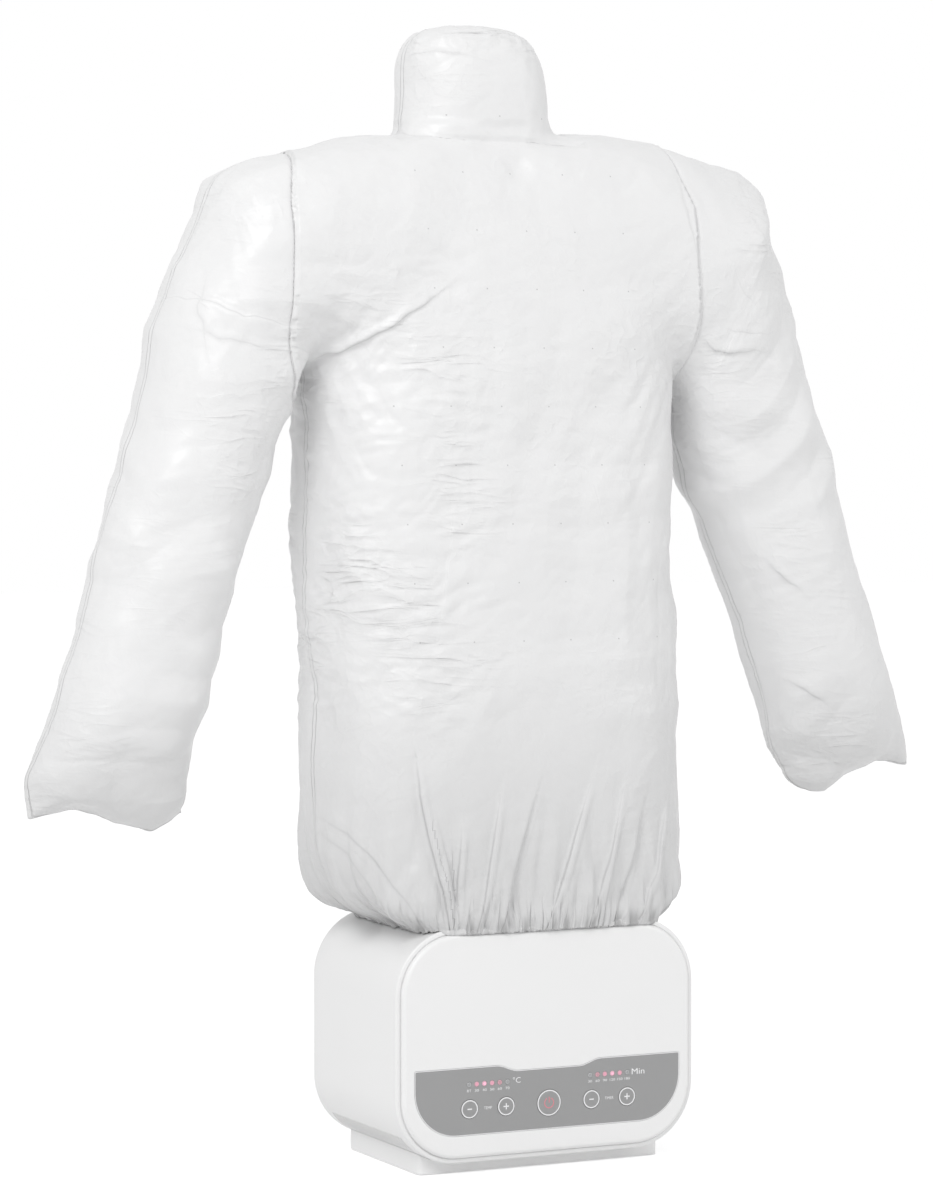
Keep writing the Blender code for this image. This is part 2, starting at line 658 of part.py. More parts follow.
def make_light_guides():
    """Two clear mouldings, each a bar with six studs that show through the overlay."""
    bar_front = COVER_INSIDE + GAP
    for name, side in (("temp_light_guide", -1), ("timer_light_guide", 1)):
        places = light_places(side)
        bar = bmesh.new()
        low = (min(places) - LIGHT_BAR_MARGIN, bar_front, LIGHT_HEIGHT - LIGHT_BAR_HEIGHT / 2)
        high = (max(places) + LIGHT_BAR_MARGIN, bar_front + LIGHT_BAR_THICKNESS,
                LIGHT_HEIGHT + LIGHT_BAR_HEIGHT / 2)
        add_span(bar, low, high)
        guide = new_object(name, bar, CLEAR_LIGHT)
        studs = bmesh.new()
        for x in places:
            add_rod(studs, LIGHT_RADIUS, (x, FRONT, LIGHT_HEIGHT),
                    COVER_WALL + GAP + LIGHT_BAR_THICKNESS / 2, "Y", 8)
        combine(guide, new_object(name + "_studs", studs), "UNION")


def make_control_board():
    """The board on the cover's bosses, with five switches and a processor."""
    board = bmesh.new()
    half = CONTROL_BOARD_WIDTH / 2
    low = CONTROL_BOARD_MIDDLE - CONTROL_BOARD_HEIGHT / 2
    add_span(board, (-half, CONTROL_BOARD_FRONT, low),
             (half, CONTROL_BOARD_FRONT + BOARD_THICKNESS, low + CONTROL_BOARD_HEIGHT))
    made = new_object("control_board", board, BOARD)
    things = bmesh.new()
    for name, x, radius in KEYS:
        size = (SWITCH_SIZE, SWITCH_HEIGHT + BOARD_THICKNESS / 2, SWITCH_SIZE)
        middle = SWITCH_FRONT + size[1] / 2
        add_box(things, size, (x, middle, KEY_HEIGHT))
    chip = (CHIP_WIDTH, CHIP_THICKNESS + BOARD_THICKNESS / 2, CHIP_HEIGHT)
    chip_y = CONTROL_BOARD_FRONT + BOARD_THICKNESS / 2 + chip[1] / 2
    add_box(things, chip, (KEY_INNER_PLACE, chip_y, KEY_HEIGHT))
    for side in (-1, 1):
        bar_back = COVER_INSIDE + GAP + LIGHT_BAR_THICKNESS + GAP
        for x in light_places(side):
            low = (x - LIGHT_RADIUS, bar_back, LIGHT_HEIGHT - LIGHT_RADIUS)
            high = (x + LIGHT_RADIUS, CONTROL_BOARD_FRONT + BOARD_THICKNESS / 2, LIGHT_HEIGHT + LIGHT_RADIUS)
            add_span(things, low, high)
    combine(made, new_object("control_board_things", things), "UNION")


def make_outlet():
    """The collar through the housing's top, and the grille on its inner ledge."""
    flange = rounded_box("outlet_collar", (OUTLET_WIDTH + 2 * COLLAR_FLANGE,
                                           OUTLET_DEPTH + 2 * COLLAR_FLANGE, COLLAR_FLANGE_HEIGHT),
                         (0, 0, FLANGE_BOTTOM + COLLAR_FLANGE_HEIGHT / 2), "Z",
                         OUTLET_CORNER + COLLAR_FLANGE, WHITE_PLASTIC, 4)
    neck = rounded_box("collar_neck", (OUTLET_WIDTH - 2 * GAP, OUTLET_DEPTH - 2 * GAP,
                                       COLLAR_TOP - COLLAR_BOTTOM),
                       (0, 0, (COLLAR_TOP + COLLAR_BOTTOM) / 2), "Z", OUTLET_CORNER - GAP, None, 4)
    combine(flange, neck, "UNION")
    high = COLLAR_TOP + OVERRUN - GRILLE_SEAT
    combine(flange, rounded_box("collar_bore", (BORE_WIDTH, BORE_DEPTH, high),
                                (0, 0, GRILLE_SEAT + high / 2), "Z", OUTLET_CORNER - COLLAR_WALL, None, 4))
    combine(flange, rounded_box("collar_throat", (BORE_WIDTH - 2 * COLLAR_LEDGE,
                                                  BORE_DEPTH - 2 * COLLAR_LEDGE, 4 * COLLAR_NECK),
                                (0, 0, HOUSING_TOP), "Z",
                                OUTLET_CORNER - COLLAR_WALL - COLLAR_LEDGE, None, 4))

    width = BORE_WIDTH - 2 * GAP
    depth = BORE_DEPTH - 2 * GAP
    low = GRILLE_SEAT + GAP
    grille = flat_ring("outlet_grille", width, depth, OUTLET_CORNER - COLLAR_WALL - GAP, GRILLE_RIM,
                       low, low + GRILLE_THICKNESS, WHITE_PLASTIC)
    bars = bmesh.new()
    pitch = (width - 2 * GRILLE_RIM) / GRILLE_BARS
    for index in range(GRILLE_BARS - 1):
        x = (index + 1 - GRILLE_BARS / 2) * pitch
        add_box(bars, (GRILLE_BAR, depth - GRILLE_RIM, GRILLE_THICKNESS - 2 * GAP),
                (x, 0, low + GRILLE_THICKNESS / 2))
    combine(grille, new_object("grille_bars", bars), "UNION")


def make_duct():
    """The straight duct between the heater and the collar."""
    flat_ring("outlet_duct", DUCT_WIDTH, DUCT_DEPTH, DUCT_CORNER, DUCT_WALL, DUCT_FOOT,
              HOUSING_CEILING - GAP, DUCT_PLASTIC)


def heater_bar_places():
    """Depths of the heater bars inside their frame."""
    spread = (DUCT_DEPTH - 2 * HEATER_WALL) / HEATER_BARS
    return [(index - (HEATER_BARS - 1) / 2) * spread for index in range(HEATER_BARS)]


def make_heater():
    """The heater frame with its two ledges, three finned bars and the thermal cut-out."""
    frame = flat_ring("heater_frame", DUCT_WIDTH, DUCT_DEPTH, DUCT_CORNER, HEATER_WALL,
                      HEATER_BOTTOM, HEATER_TOP, ALUMINIUM)
    ledges = bmesh.new()
    inner = DUCT_WIDTH / 2 - HEATER_WALL
    ledge_top = HEATER_BOTTOM + HEATER_LEDGE
    half_depth = DUCT_DEPTH / 2 - DUCT_CORNER
    for side in (-1, 1):
        far = side * (inner + HEATER_WALL / 2)
        near = side * (inner - HEATER_LEDGE)
        add_span(ledges, (min(far, near), -half_depth, HEATER_BOTTOM), (max(far, near), half_depth, ledge_top))
    combine(frame, new_object("heater_ledges", ledges), "UNION")
    length = 2 * (inner - GAP)
    low = ledge_top + GAP
    for index, y in enumerate(heater_bar_places()):
        core = bmesh.new()
        middle = low + HEATER_BAR_HEIGHT / 2
        add_box(core, (length, HEATER_BAR_DEPTH, HEATER_BAR_HEIGHT), (0, y, middle))
        bar = new_object(f"heater_bar_{index + 1}", core, ALUMINIUM)
        fins = bmesh.new()
        for fin in range(HEATER_FINS):
            x = (fin - (HEATER_FINS - 1) / 2) * length / (HEATER_FINS + 1)
            size = (HEATER_FIN, HEATER_FIN_DEPTH, HEATER_BAR_HEIGHT - 2 * HEATER_FIN)
            add_box(fins, size, (x, y, middle))
        combine(bar, new_object(f"heater_fins_{index + 1}", fins), "UNION")
    cutout = bmesh.new()
    add_rod(cutout, CUTOUT_RADIUS, (DUCT_WIDTH / 2 + GAP, 0, (HEATER_TOP + HEATER_BOTTOM) / 2),
            CUTOUT_THICKNESS, "X", 20)
    new_object("thermal_cutout", cutout, STEEL)


def make_fan():
    """The fan frame on four legs, the motor on its bracket, the shaft and the bladed wheel."""
    width = DUCT_WIDTH
    depth = DUCT_DEPTH
    block = rounded_box("fan_frame", (width, depth, FAN_FRAME_HEIGHT), (0, 0, FAN_MIDDLE), "Z",
                        DUCT_CORNER, DARK_PLASTIC, 4)
    legs = bmesh.new()
    for side in (-1, 1):
        for end in (-1, 1):
            x = side * (width / 2 - FAN_LEG_INSET)
            y = end * (depth / 2 - FAN_LEG_INSET)
            low = HOUSING_FLOOR + GAP
            high = FAN_FRAME_BOTTOM + FAN_LEG
            add_box(legs, (FAN_LEG, FAN_LEG, high - low), (x, y, (low + high) / 2))
    combine(block, new_object("fan_legs", legs), "UNION")
    bore = bmesh.new()
    add_rod(bore, FAN_BORE, (0, 0, FAN_FRAME_BOTTOM - OVERRUN), FAN_FRAME_HEIGHT + 2 * OVERRUN, "Z", 36)
    for side in (-1, 1):
        add_rod(bore, SCREW_HOLE, (side * BRACKET_SCREW_PLACE, 0, FAN_FRAME_BOTTOM - OVERRUN),
                OVERRUN + SCREW_LENGTH, "Z", 8)
    combine(block, new_object("fan_bore", bore))

    plate = bmesh.new()
    half = width / 2 - GAP
    add_span(plate, (-half, -BRACKET_WIDTH / 2, BRACKET_BOTTOM), (half, BRACKET_WIDTH / 2, BRACKET_TOP))
    bracket = new_object("motor_bracket", plate, STEEL)
    holes = bmesh.new()
    add_rod(holes, MOTOR_NOSE_RADIUS + GAP, (0, 0, BRACKET_BOTTOM - OVERRUN),
            BRACKET_THICKNESS + 2 * OVERRUN, "Z", 24)
    for side in (-1, 1):
        add_rod(holes, SCREW_HOLE, (side * BRACKET_SCREW_PLACE, 0, BRACKET_BOTTOM - OVERRUN),
                BRACKET_THICKNESS + 2 * OVERRUN, "Z", 8)
    combine(bracket, new_object("bracket_holes", holes))

    can = bmesh.new()
    add_rod(can, MOTOR_RADIUS, (0, 0, MOTOR_BOTTOM), MOTOR_HEIGHT, "Z", 32)
    motor = new_object("fan_motor", can, STEEL)
    nose = bmesh.new()
    add_rod(nose, MOTOR_NOSE_RADIUS, (0, 0, MOTOR_TOP - MOTOR_NOSE_HEIGHT),
            2 * MOTOR_NOSE_HEIGHT, "Z", 24)
    combine(motor, new_object("motor_nose", nose), "UNION")
    bearing = bmesh.new()
    bearing_low = MOTOR_TOP - MOTOR_HEIGHT / 2
    add_rod(bearing, SHAFT_RADIUS + SHAFT_CLEARANCE, (0, 0, bearing_low), MOTOR_HEIGHT, "Z", 24)
    combine(motor, new_object("motor_bearing", bearing))

    hub_low = FAN_MIDDLE - HUB_HEIGHT / 2
    rod = bmesh.new()
    shaft_low = bearing_low + GAP
    shaft_high = hub_low + HUB_HEIGHT / 2
    add_rod(rod, SHAFT_RADIUS, (0, 0, shaft_low), shaft_high - shaft_low, "Z", 24)
    new_object("motor_shaft", rod, STEEL)

    centre = bmesh.new()
    add_rod(centre, HUB_RADIUS, (0, 0, hub_low), HUB_HEIGHT, "Z", 20)
    wheel = new_object("fan_wheel", centre, DARK_PLASTIC)
    blades = bmesh.new()
    inner = HUB_RADIUS * BLADE_ROOT_SHARE
    for index in range(FAN_BLADES):
        spin = Matrix.Rotation(math.tau * index / FAN_BLADES, 4, "Z")
        slope = Matrix.Rotation(FAN_SLOPE, 4, "X")
        size = (FAN_RADIUS - inner, FAN_CHORD, FAN_BLADE_THICKNESS)
        middle = spin @ Vector(((FAN_RADIUS + inner) / 2, 0, 0))
        add_box(blades, size, middle + Vector((0, 0, FAN_MIDDLE)), spin @ slope)
    combine(wheel, new_object("fan_blades", blades), "UNION")
    socket = bmesh.new()
    add_rod(socket, SHAFT_RADIUS + GAP, (0, 0, hub_low - OVERRUN), OVERRUN + HUB_HEIGHT / 2 + GAP, "Z", 24)
    combine(wheel, new_object("hub_socket", socket))
    for side, name in ((-1, "bracket_screw_left"), (1, "bracket_screw_right")):
        make_screw(name, (side * BRACKET_SCREW_PLACE, 0, BRACKET_BOTTOM - GAP), "Z")


def standoff_places():
    """Four standoffs under the power board's corners."""
    reach = POWER_BOARD_WIDTH / 2 - STANDOFF_INSET
    return [(side * reach, POWER_BOARD_PLACE + end * (POWER_BOARD_DEPTH / 2 - STANDOFF_INSET))
            for side in (-1, 1) for end in (-1, 1)]


def make_power_board():
    """The power board with its relay, capacitor and two connectors."""
    plate = bmesh.new()
    size = (POWER_BOARD_WIDTH, POWER_BOARD_DEPTH, BOARD_THICKNESS)
    add_box(plate, size, (0, POWER_BOARD_PLACE, POWER_BOARD_TOP - BOARD_THICKNESS / 2))
    board = new_object("power_board", plate, BOARD)
    things = bmesh.new()
    start = POWER_BOARD_TOP - BOARD_THICKNESS / 2
    add_rod(things, CAPACITOR_RADIUS, (-RELAY_WIDTH, POWER_BOARD_PLACE, start),
            CAPACITOR_HEIGHT, "Z", 16)
    add_span(things, (0, POWER_BOARD_PLACE - RELAY_DEPTH / 2, start),
             (RELAY_WIDTH, POWER_BOARD_PLACE + RELAY_DEPTH / 2, start + RELAY_HEIGHT))
    for side in (-1, 1):
        x = side * (POWER_BOARD_WIDTH / 2 - STANDOFF_INSET)
        add_box(things, (CONNECTOR_WIDTH, CONNECTOR_DEPTH, CONNECTOR_HEIGHT),
                (x, POWER_BOARD_PLACE, start + CONNECTOR_HEIGHT / 2))
    combine(board, new_object("power_board_things", things), "UNION")


def make_inlet():
    """The mains inlet in the rear wall: flange, body and a socket with three pins."""
    face = bmesh.new()
    flange_front = BACK + GAP
    add_box(face, (INLET_WIDTH + 2 * INLET_FLANGE, INLET_FLANGE_THICKNESS, INLET_TALL + 2 * INLET_FLANGE),
            (INLET_PLACE, flange_front + INLET_FLANGE_THICKNESS / 2, INLET_HEIGHT))
    inlet = new_object("mains_inlet", face, DARK_PLASTIC)
    body = bmesh.new()
    back = flange_front + INLET_FLANGE_THICKNESS / 2
    add_span(body, (INLET_PLACE - INLET_WIDTH / 2, back - INLET_BODY_DEPTH, INLET_HEIGHT - INLET_TALL / 2),
             (INLET_PLACE + INLET_WIDTH / 2, back, INLET_HEIGHT + INLET_TALL / 2))
    combine(inlet, new_object("inlet_body", body), "UNION")
    socket = bmesh.new()
    mouth = flange_front + INLET_FLANGE_THICKNESS + OVERRUN
    floor = mouth - OVERRUN - INLET_SOCKET_DEPTH
    add_span(socket, (INLET_PLACE - INLET_WIDTH / 2 + INLET_WALL, floor,
                      INLET_HEIGHT - INLET_TALL / 2 + INLET_WALL),
             (INLET_PLACE + INLET_WIDTH / 2 - INLET_WALL, mouth, INLET_HEIGHT + INLET_TALL / 2 - INLET_WALL))
    combine(inlet, new_object("inlet_socket", socket))
    pins = bmesh.new()
    for step in (-1, 0, 1):
        sink = INLET_WALL / 2
        size = (INLET_PIN_THICKNESS, INLET_PIN_LENGTH + sink, INLET_PIN_WIDTH)
        lift = INLET_PIN_WIDTH / 2 if step == 0 else -INLET_PIN_WIDTH / 2
        add_box(pins, size, (INLET_PLACE + step * INLET_PIN_SPREAD, floor - sink + size[1] / 2,
                             INLET_HEIGHT + lift))
    combine(inlet, new_object("inlet_pins", pins), "UNION")


def make_lead(name, route):
    """An insulated lead: a tube along a smooth curve through a few points."""
    curve = bpy.data.curves.new(name, "CURVE")
    curve.dimensions = "3D"
    curve.bevel_depth = LEAD_RADIUS
    curve.bevel_resolution = 2
    curve.use_fill_caps = True
    line = curve.splines.new("POLY")
    points = smooth_route(route)
    line.points.add(len(points) - 1)
    for point, place in zip(line.points, points):
        point.co = (*place, 1)
    made = bpy.data.objects.new(name, curve)
    curve.materials.append(LEAD_SLEEVE)
    PARTS.objects.link(made)


def smooth_route(route, steps=4):
    """Points of a smooth curve through the route's own points."""
    ends = [route[0], *route, route[-1]]
    points = []
    for index in range(len(route) - 1):
        a, b, c, d = [Vector(place) for place in ends[index:index + 4]]
        for step in range(steps):
            t = step / steps
            points.append(0.5 * (2 * b + (c - a) * t + (2 * a - 5 * b + 4 * c - d) * t ** 2
                                 + (3 * b - a - 3 * c + d) * t ** 3))
    return points + [Vector(route[-1])]


def make_leads():
    """The inner leads: from the inlet to the power board, and from the power board to the heater."""
    r = LEAD_RADIUS
    y = POWER_BOARD_PLACE
    start = POWER_BOARD_WIDTH / 2 - STANDOFF_INSET + CONNECTOR_WIDTH / 2 + 2 * GAP
    low = POWER_BOARD_TOP + CONNECTOR_HEIGHT / 2
    duct_side = DUCT_WIDTH / 2
    side = duct_side + 5 * r
    inlet_end = BACK + GAP + INLET_FLANGE_THICKNESS / 2 - INLET_BODY_DEPTH - 2 * GAP
    make_lead("mains_lead", (
        (start, y, low),
        (start + 2 * r, y, low),
        (start + 4 * r, y, low),
        (side, y + 6 * r, low),
        (side, 0, low),
        (side, inlet_end - 12 * r, low + 2 * r),
        (INLET_PLACE + r, inlet_end - 5 * r, INLET_HEIGHT),
        (INLET_PLACE, inlet_end - 2 * r, INLET_HEIGHT),
        (INLET_PLACE, inlet_end - r, INLET_HEIGHT),
        (INLET_PLACE, inlet_end, INLET_HEIGHT),
    ))
    heater_z = (HEATER_TOP + HEATER_BOTTOM) / 2
    make_lead("heater_lead", (
        (-start, y, low),
        (-start - 2 * r, y, low),
        (-start - 4 * r, y, low),
        (-side, y, low + 8 * r),
        (-side, y, FAN_MIDDLE - 4 * r),
        (-side, y, heater_z - 4 * r),
        (-duct_side - 3 * r, y, heater_z),
        (-duct_side - 2 * r, y, heater_z),
        (-duct_side - r, y, heater_z),
        (-duct_side - 2 * GAP, y, heater_z),
    ))


def make_base_screws():
    """Screws driven forwards in the rear posts, and upwards under the plinth."""
    places = [(x, COVER_BOSS_END + GAP + POST_WEB + GAP, z) for x, z in POSTS]
    for index, place in enumerate(places):
        make_screw(f"cover_screw_{index + 1}", place, "Y", -1)
    for index, (x, y) in enumerate(plinth_screw_places()):
        make_screw(f"plinth_screw_{index + 1}", (x, y, SCREW_HEAD_HEIGHT + GAP), "Z")


def oval_ring(centre, side, front, square, count):
    """Points of a superellipse about a centre, from two half axes and its squareness."""
    points = []
    for index in range(count):
        angle = math.tau * (index + 0.5) / count
        c = math.cos(angle)
        s = math.sin(angle)
        along = math.copysign(abs(c) ** (2 / square), c)
        across = math.copysign(abs(s) ** (2 / square), s)
        points.append(centre + side * along + front * across)
    return points


def loft(name, rings, finish=None):
    """A closed skin over rings of the same count, capped by a face at each end."""
    mesh = bmesh.new()
    levels = [[mesh.verts.new(point) for point in ring] for ring in rings]
    count = len(rings[0])
    for low, high in zip(levels, levels[1:]):
        for index in range(count):
            after = (index + 1) % count
            mesh.faces.new((low[index], low[after], high[after], high[index]))
    mesh.faces.new(list(reversed(levels[0])))
    mesh.faces.new(levels[-1])
    bmesh.ops.recalc_face_normals(mesh, faces=mesh.faces)
    return new_object(name, mesh, finish)


def torso_rings():
    """The torso from the hem to the neck, before it settles on the base."""
    rings = []
    for height, width, depth, square in TORSO_SHARES:
        centre = Vector((0, 0, MOUTH_HEIGHT + height * TORSO_HEIGHT))
        side = Vector((width * TORSO_HALF_WIDTH, 0, 0))
        front = Vector((0, depth * TORSO_HALF_DEPTH, 0))
        rings.append(oval_ring(centre, side, front, square, RING_POINTS))
    return rings


def sleeve_rings(hand):
    """One sleeve, from inside the shoulder to its flat closed end."""
    rings = []
    for (inner_x, inner_z), (outer_x, outer_z), depth, square in SLEEVE_SHARES:
        inner = Vector((hand * inner_x * ARM_REACH, 0, MOUTH_HEIGHT + inner_z * TORSO_HEIGHT))
        outer = Vector((hand * outer_x * ARM_REACH, 0, MOUTH_HEIGHT + outer_z * TORSO_HEIGHT))
        front = Vector((0, depth * TORSO_HALF_DEPTH, 0))
        rings.append(oval_ring((inner + outer) / 2, (outer - inner) / 2, front, square, SLEEVE_POINTS))
    return rings


def settle(mesh):
    """Move the bag back and aside as it rises from the hem, and lean it."""
    for vert in mesh.verts:
        rise = vert.co.z - MOUTH_HEIGHT
        share = min(max(rise / BAG_SETTLE_HEIGHT, 0), 1)
        ease = share * share * (3 - 2 * share)
        vert.co.x -= BAG_SIDESET * ease + BAG_LEAN_SHARE * max(rise, 0)
        vert.co.y += BAG_BACKSET * ease


def evaluated_mesh(thing):
    """The mesh of an object with its modifiers applied, as a bmesh."""
    bpy.context.view_layer.update()
    data = bpy.data.meshes.new_from_object(thing.evaluated_get(bpy.context.evaluated_depsgraph_get()))
    mesh = bmesh.new()
    mesh.from_mesh(data)
    bpy.data.meshes.remove(data)
    return mesh


def bag_panel(name, form, cuts):
    """One panel of the bag: the form's skin kept behind each cutting plane, given its thickness."""
    mesh = evaluated_mesh(form)
    for place, outward in cuts:
        everything = list(mesh.verts) + list(mesh.edges) + list(mesh.faces)
        bmesh.ops.bisect_plane(mesh, geom=everything, dist=GAP / 100, plane_co=place,
                               plane_no=outward, clear_outer=True)
    bmesh.ops.remove_doubles(mesh, verts=mesh.verts, dist=GAP / 2)
    settle(mesh)
    panel = new_object(name, mesh, BAG_FABRIC)
    wall = panel.modifiers.new("thickness", "SOLIDIFY")
    wall.thickness = BAG_THICKNESS
    wall.offset = -1
    wall.use_even_offset = False
    return panel


def make_bag():
    """The air bag: front and back panels, two sleeves, the neck and the elastic hem."""
    form = loft("bag_form", torso_rings())
    for hand, name in ((-1, "left_sleeve_form"), (1, "right_sleeve_form")):
        combine(form, loft(name, sleeve_rings(hand)), "UNION")
    half_gap = SEAM_GAP / 2
    mouth = ((0, 0, MOUTH_HEIGHT + GAP), (0, 0, -1))
    neck = ((0, 0, NECK_BASE - SEAM_GAP), (0, 0, 1))
    inside_left = ((-ARMHOLE_PLACE + half_gap, 0, 0), (-1, 0, 0))
    inside_right = ((ARMHOLE_PLACE - half_gap, 0, 0), (1, 0, 0))
    torso_cuts = [mouth, neck, inside_left, inside_right]
    bag_panel("bag_front_panel", form, torso_cuts + [((0, -half_gap, 0), (0, 1, 0))])
    bag_panel("bag_back_panel", form, torso_cuts + [((0, half_gap, 0), (0, -1, 0))])
    bag_panel("bag_sleeve_left", form, [((-ARMHOLE_PLACE - half_gap, 0, 0), (1, 0, 0))])
    bag_panel("bag_sleeve_right", form, [((ARMHOLE_PLACE + half_gap, 0, 0), (-1, 0, 0))])

    rings = []
    for height, spread, square in NECK_SHARES:
        centre = Vector((0, 0, NECK_BASE + height * NECK_HEIGHT))
        side = Vector((spread * NECK_HALF_WIDTH, 0, 0))
        front = Vector((0, spread * NECK_HALF_DEPTH, 0))
        rings.append(oval_ring(centre, side, front, square, SLEEVE_POINTS))
    neck_form = loft("neck_form", rings)
    bag_panel("bag_neck", neck_form, [((0, 0, NECK_BASE + GAP), (0, 0, -1))])

    low = HOUSING_TOP - HEM_OVERHANG
    high = low + HEM_HEIGHT
    half_depth = BASE_DEPTH / 2 + GAP + HEM_BAND
    hem = flat_ring("bag_hem_elastic", 2 * HEM_HALF_WIDTH, 2 * half_depth, HEM_CORNER, HEM_BAND,
                    low, high, BAG_FABRIC)
    combine(hem, base_block("hem_relief", FRONT - GAP, BACK + GAP, -GAP))


make_plinth()
make_rear_housing()
make_front_cover()
make_overlay()
make_keys()
make_light_guides()
make_control_board()
make_outlet()
make_duct()
make_heater()
make_fan()
make_power_board()
make_inlet()
make_leads()
make_base_screws()
make_bag()
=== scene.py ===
import math

import bmesh
import bpy
import numpy as np
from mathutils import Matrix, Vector


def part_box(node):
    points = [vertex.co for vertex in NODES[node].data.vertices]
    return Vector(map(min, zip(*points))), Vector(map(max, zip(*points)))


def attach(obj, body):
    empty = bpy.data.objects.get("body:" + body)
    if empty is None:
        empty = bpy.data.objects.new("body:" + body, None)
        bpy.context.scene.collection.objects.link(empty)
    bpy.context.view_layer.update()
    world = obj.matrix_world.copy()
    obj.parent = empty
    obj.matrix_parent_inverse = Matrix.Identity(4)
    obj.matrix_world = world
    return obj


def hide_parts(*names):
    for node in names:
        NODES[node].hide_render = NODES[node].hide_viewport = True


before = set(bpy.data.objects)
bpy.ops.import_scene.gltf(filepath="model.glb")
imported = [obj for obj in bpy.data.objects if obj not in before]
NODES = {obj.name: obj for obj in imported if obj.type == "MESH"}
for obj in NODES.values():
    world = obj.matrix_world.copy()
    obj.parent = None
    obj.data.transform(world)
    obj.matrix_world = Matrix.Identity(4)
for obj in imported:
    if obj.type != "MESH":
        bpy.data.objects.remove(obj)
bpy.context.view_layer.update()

BLOW_UP_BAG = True

# Sizes of the base unit, in metres, as in the part's source.
FRONT, BACK = -0.103, 0.103
HOUSING_HALF_WIDTH, HOUSING_HALF_HEIGHT, HOUSING_CORNER = 0.165, 0.116, 0.0655
HOUSING_MIDDLE, HOUSING_TOP = 0.127, 0.243
HOUSING_WALL, HOUSING_BACK_EDGE = 0.0028, 0.004
LIP_FRONT, LIP_EDGE, LIP_BAND_DEPTH = -0.098, 0.0022, 0.014
COVER_INSET, COVER_GROOVE, COVER_WALL, COVER_EDGE, COVER_DEPTH = 0.0055, 0.0008, 0.0026, 0.0045, 0.013
CORNER_X = HOUSING_HALF_WIDTH - HOUSING_CORNER  # the middle of the lower right corner's round
CORNER_Z = HOUSING_MIDDLE - HOUSING_HALF_HEIGHT + HOUSING_CORNER
POSTS = [(side * 0.125, HOUSING_MIDDLE + end * 0.0705) for side in (-1, 1) for end in (-1, 1)]
POST_RADIUS, SCREW_BORE, HEAD_BORE = 0.0056, 0.0018, 0.004
OUTLET_HALF_WIDTH, OUTLET_HALF_DEPTH, OUTLET_CORNER = 0.095, 0.070, 0.020
INTAKE_HEIGHT, INTAKE_ROWS, INTAKE_PITCH = 0.086, 6, 0.008
LOUVRES, LOUVRE_PITCH = 24, 0.007
LOUVRE_LEAN = math.radians(45)
INLET = (0.100, 0.052)
OVERLAY_HALF_WIDTH, OVERLAY_TOP, OVERLAY_BOTTOM = 0.1472, 0.1058, 0.0389
OVERLAY_CORNER, OVERLAY_DIP, OVERLAY_THICKNESS = 0.046, 0.0062, 0.0006
DIP_START, DIP_LENGTH = 0.0334, 0.0252
KEY_HEIGHT = 0.0648
KEYS = {  # place across the panel, radius
    "temp_minus": (-0.0876, 0.0092),
    "temp_plus": (-0.0475, 0.0092),
    "power": (0.0, 0.0131),
    "timer_minus": (0.0475, 0.0092),
    "timer_plus": (0.0876, 0.0092),
}
KEY_FACE = FRONT - 0.0004
KEY_GAP, LIGHT_HOLE = 0.0004, 0.0026
LIGHT_HEIGHT = 0.089
LIGHT_START, LIGHT_PITCH = 0.046, 0.0084
LIGHT_PLACES = [LIGHT_START + index * LIGHT_PITCH for index in range(6)]
INK = 0.00006  # how thick a printed layer is


# The photograph's view, the floor and the light.

def place_camera():
    """The photograph's view: 26 degrees to the left of straight on, 2.3 degrees down, 4 m away."""
    lens = bpy.data.cameras.new("photo_camera")
    with_settings(lens, sensor_fit="HORIZONTAL", sensor_width=36, lens=152.15, clip_end=20)
    camera = in_scene("photo_camera", lens)
    turn, down = math.radians(25.99), math.radians(2.32)
    way = Vector((math.sin(turn) * math.cos(down), math.cos(turn) * math.cos(down), -math.sin(down)))
    camera.location = (-1.7763, -3.560, 0.72095)
    camera.rotation_euler = way.to_track_quat("-Z", "Y").to_euler()
    bpy.context.scene.camera = camera


def with_settings(thing, **settings):
    """Sets several properties of a thing, and gives it back."""
    for name, value in settings.items():
        setattr(thing, name, value)
    return thing


def in_scene(name, data):
    """A new object of a mesh, a lamp or a camera."""
    made = bpy.data.objects.new(name, data)
    bpy.context.scene.collection.objects.link(made)
    return made


class Value:
    """What a shader node gives out; values are summed, multiplied and compared as plain numbers are."""

    def __init__(self, node, output=0):
        self.socket = node.outputs[output]
        self.tree = node.id_data

    def __add__(self, other):
        return sum_node(self.tree, "ADD", self, other)

    def __sub__(self, other):
        return sum_node(self.tree, "SUBTRACT", self, other)

    def __rsub__(self, other):
        return sum_node(self.tree, "SUBTRACT", other, self)

    def __mul__(self, other):
        return sum_node(self.tree, "MULTIPLY", self, other)

    def __lt__(self, other):
        return sum_node(self.tree, "LESS_THAN", self, other)

    def __gt__(self, other):
        return sum_node(self.tree, "GREATER_THAN", self, other)

    def __abs__(self):
        return sum_node(self.tree, "ABSOLUTE", self)


def node_of(tree, kind, inputs=None, **settings):
    """A shader node with its settings; each input, by name or number, is a plain number or follows a Value."""
    made = with_settings(tree.nodes.new("ShaderNode" + kind), **settings)
    for place, value in (inputs or {}).items():
        if isinstance(value, Value):
            tree.links.new(value.socket, made.inputs[place])
        else:
            made.inputs[place].default_value = value
    return made


def sum_node(tree, operation, *values, clamp=False):
    """One sum of values, each a Value or a number."""
    return Value(node_of(tree, "Math", dict(enumerate(values)), operation=operation, use_clamp=clamp))


def seen_directly(tree):
    """A factor that is 1 for what the camera sees straight, in a mirror or through glass."""
    path = node_of(tree, "LightPath")
    seen = sum_node(tree, "ADD", Value(path, "Is Camera Ray"), Value(path, "Is Glossy Ray"), clamp=True)
    return sum_node(tree, "ADD", seen, Value(path, "Is Transmission Ray"), clamp=True)


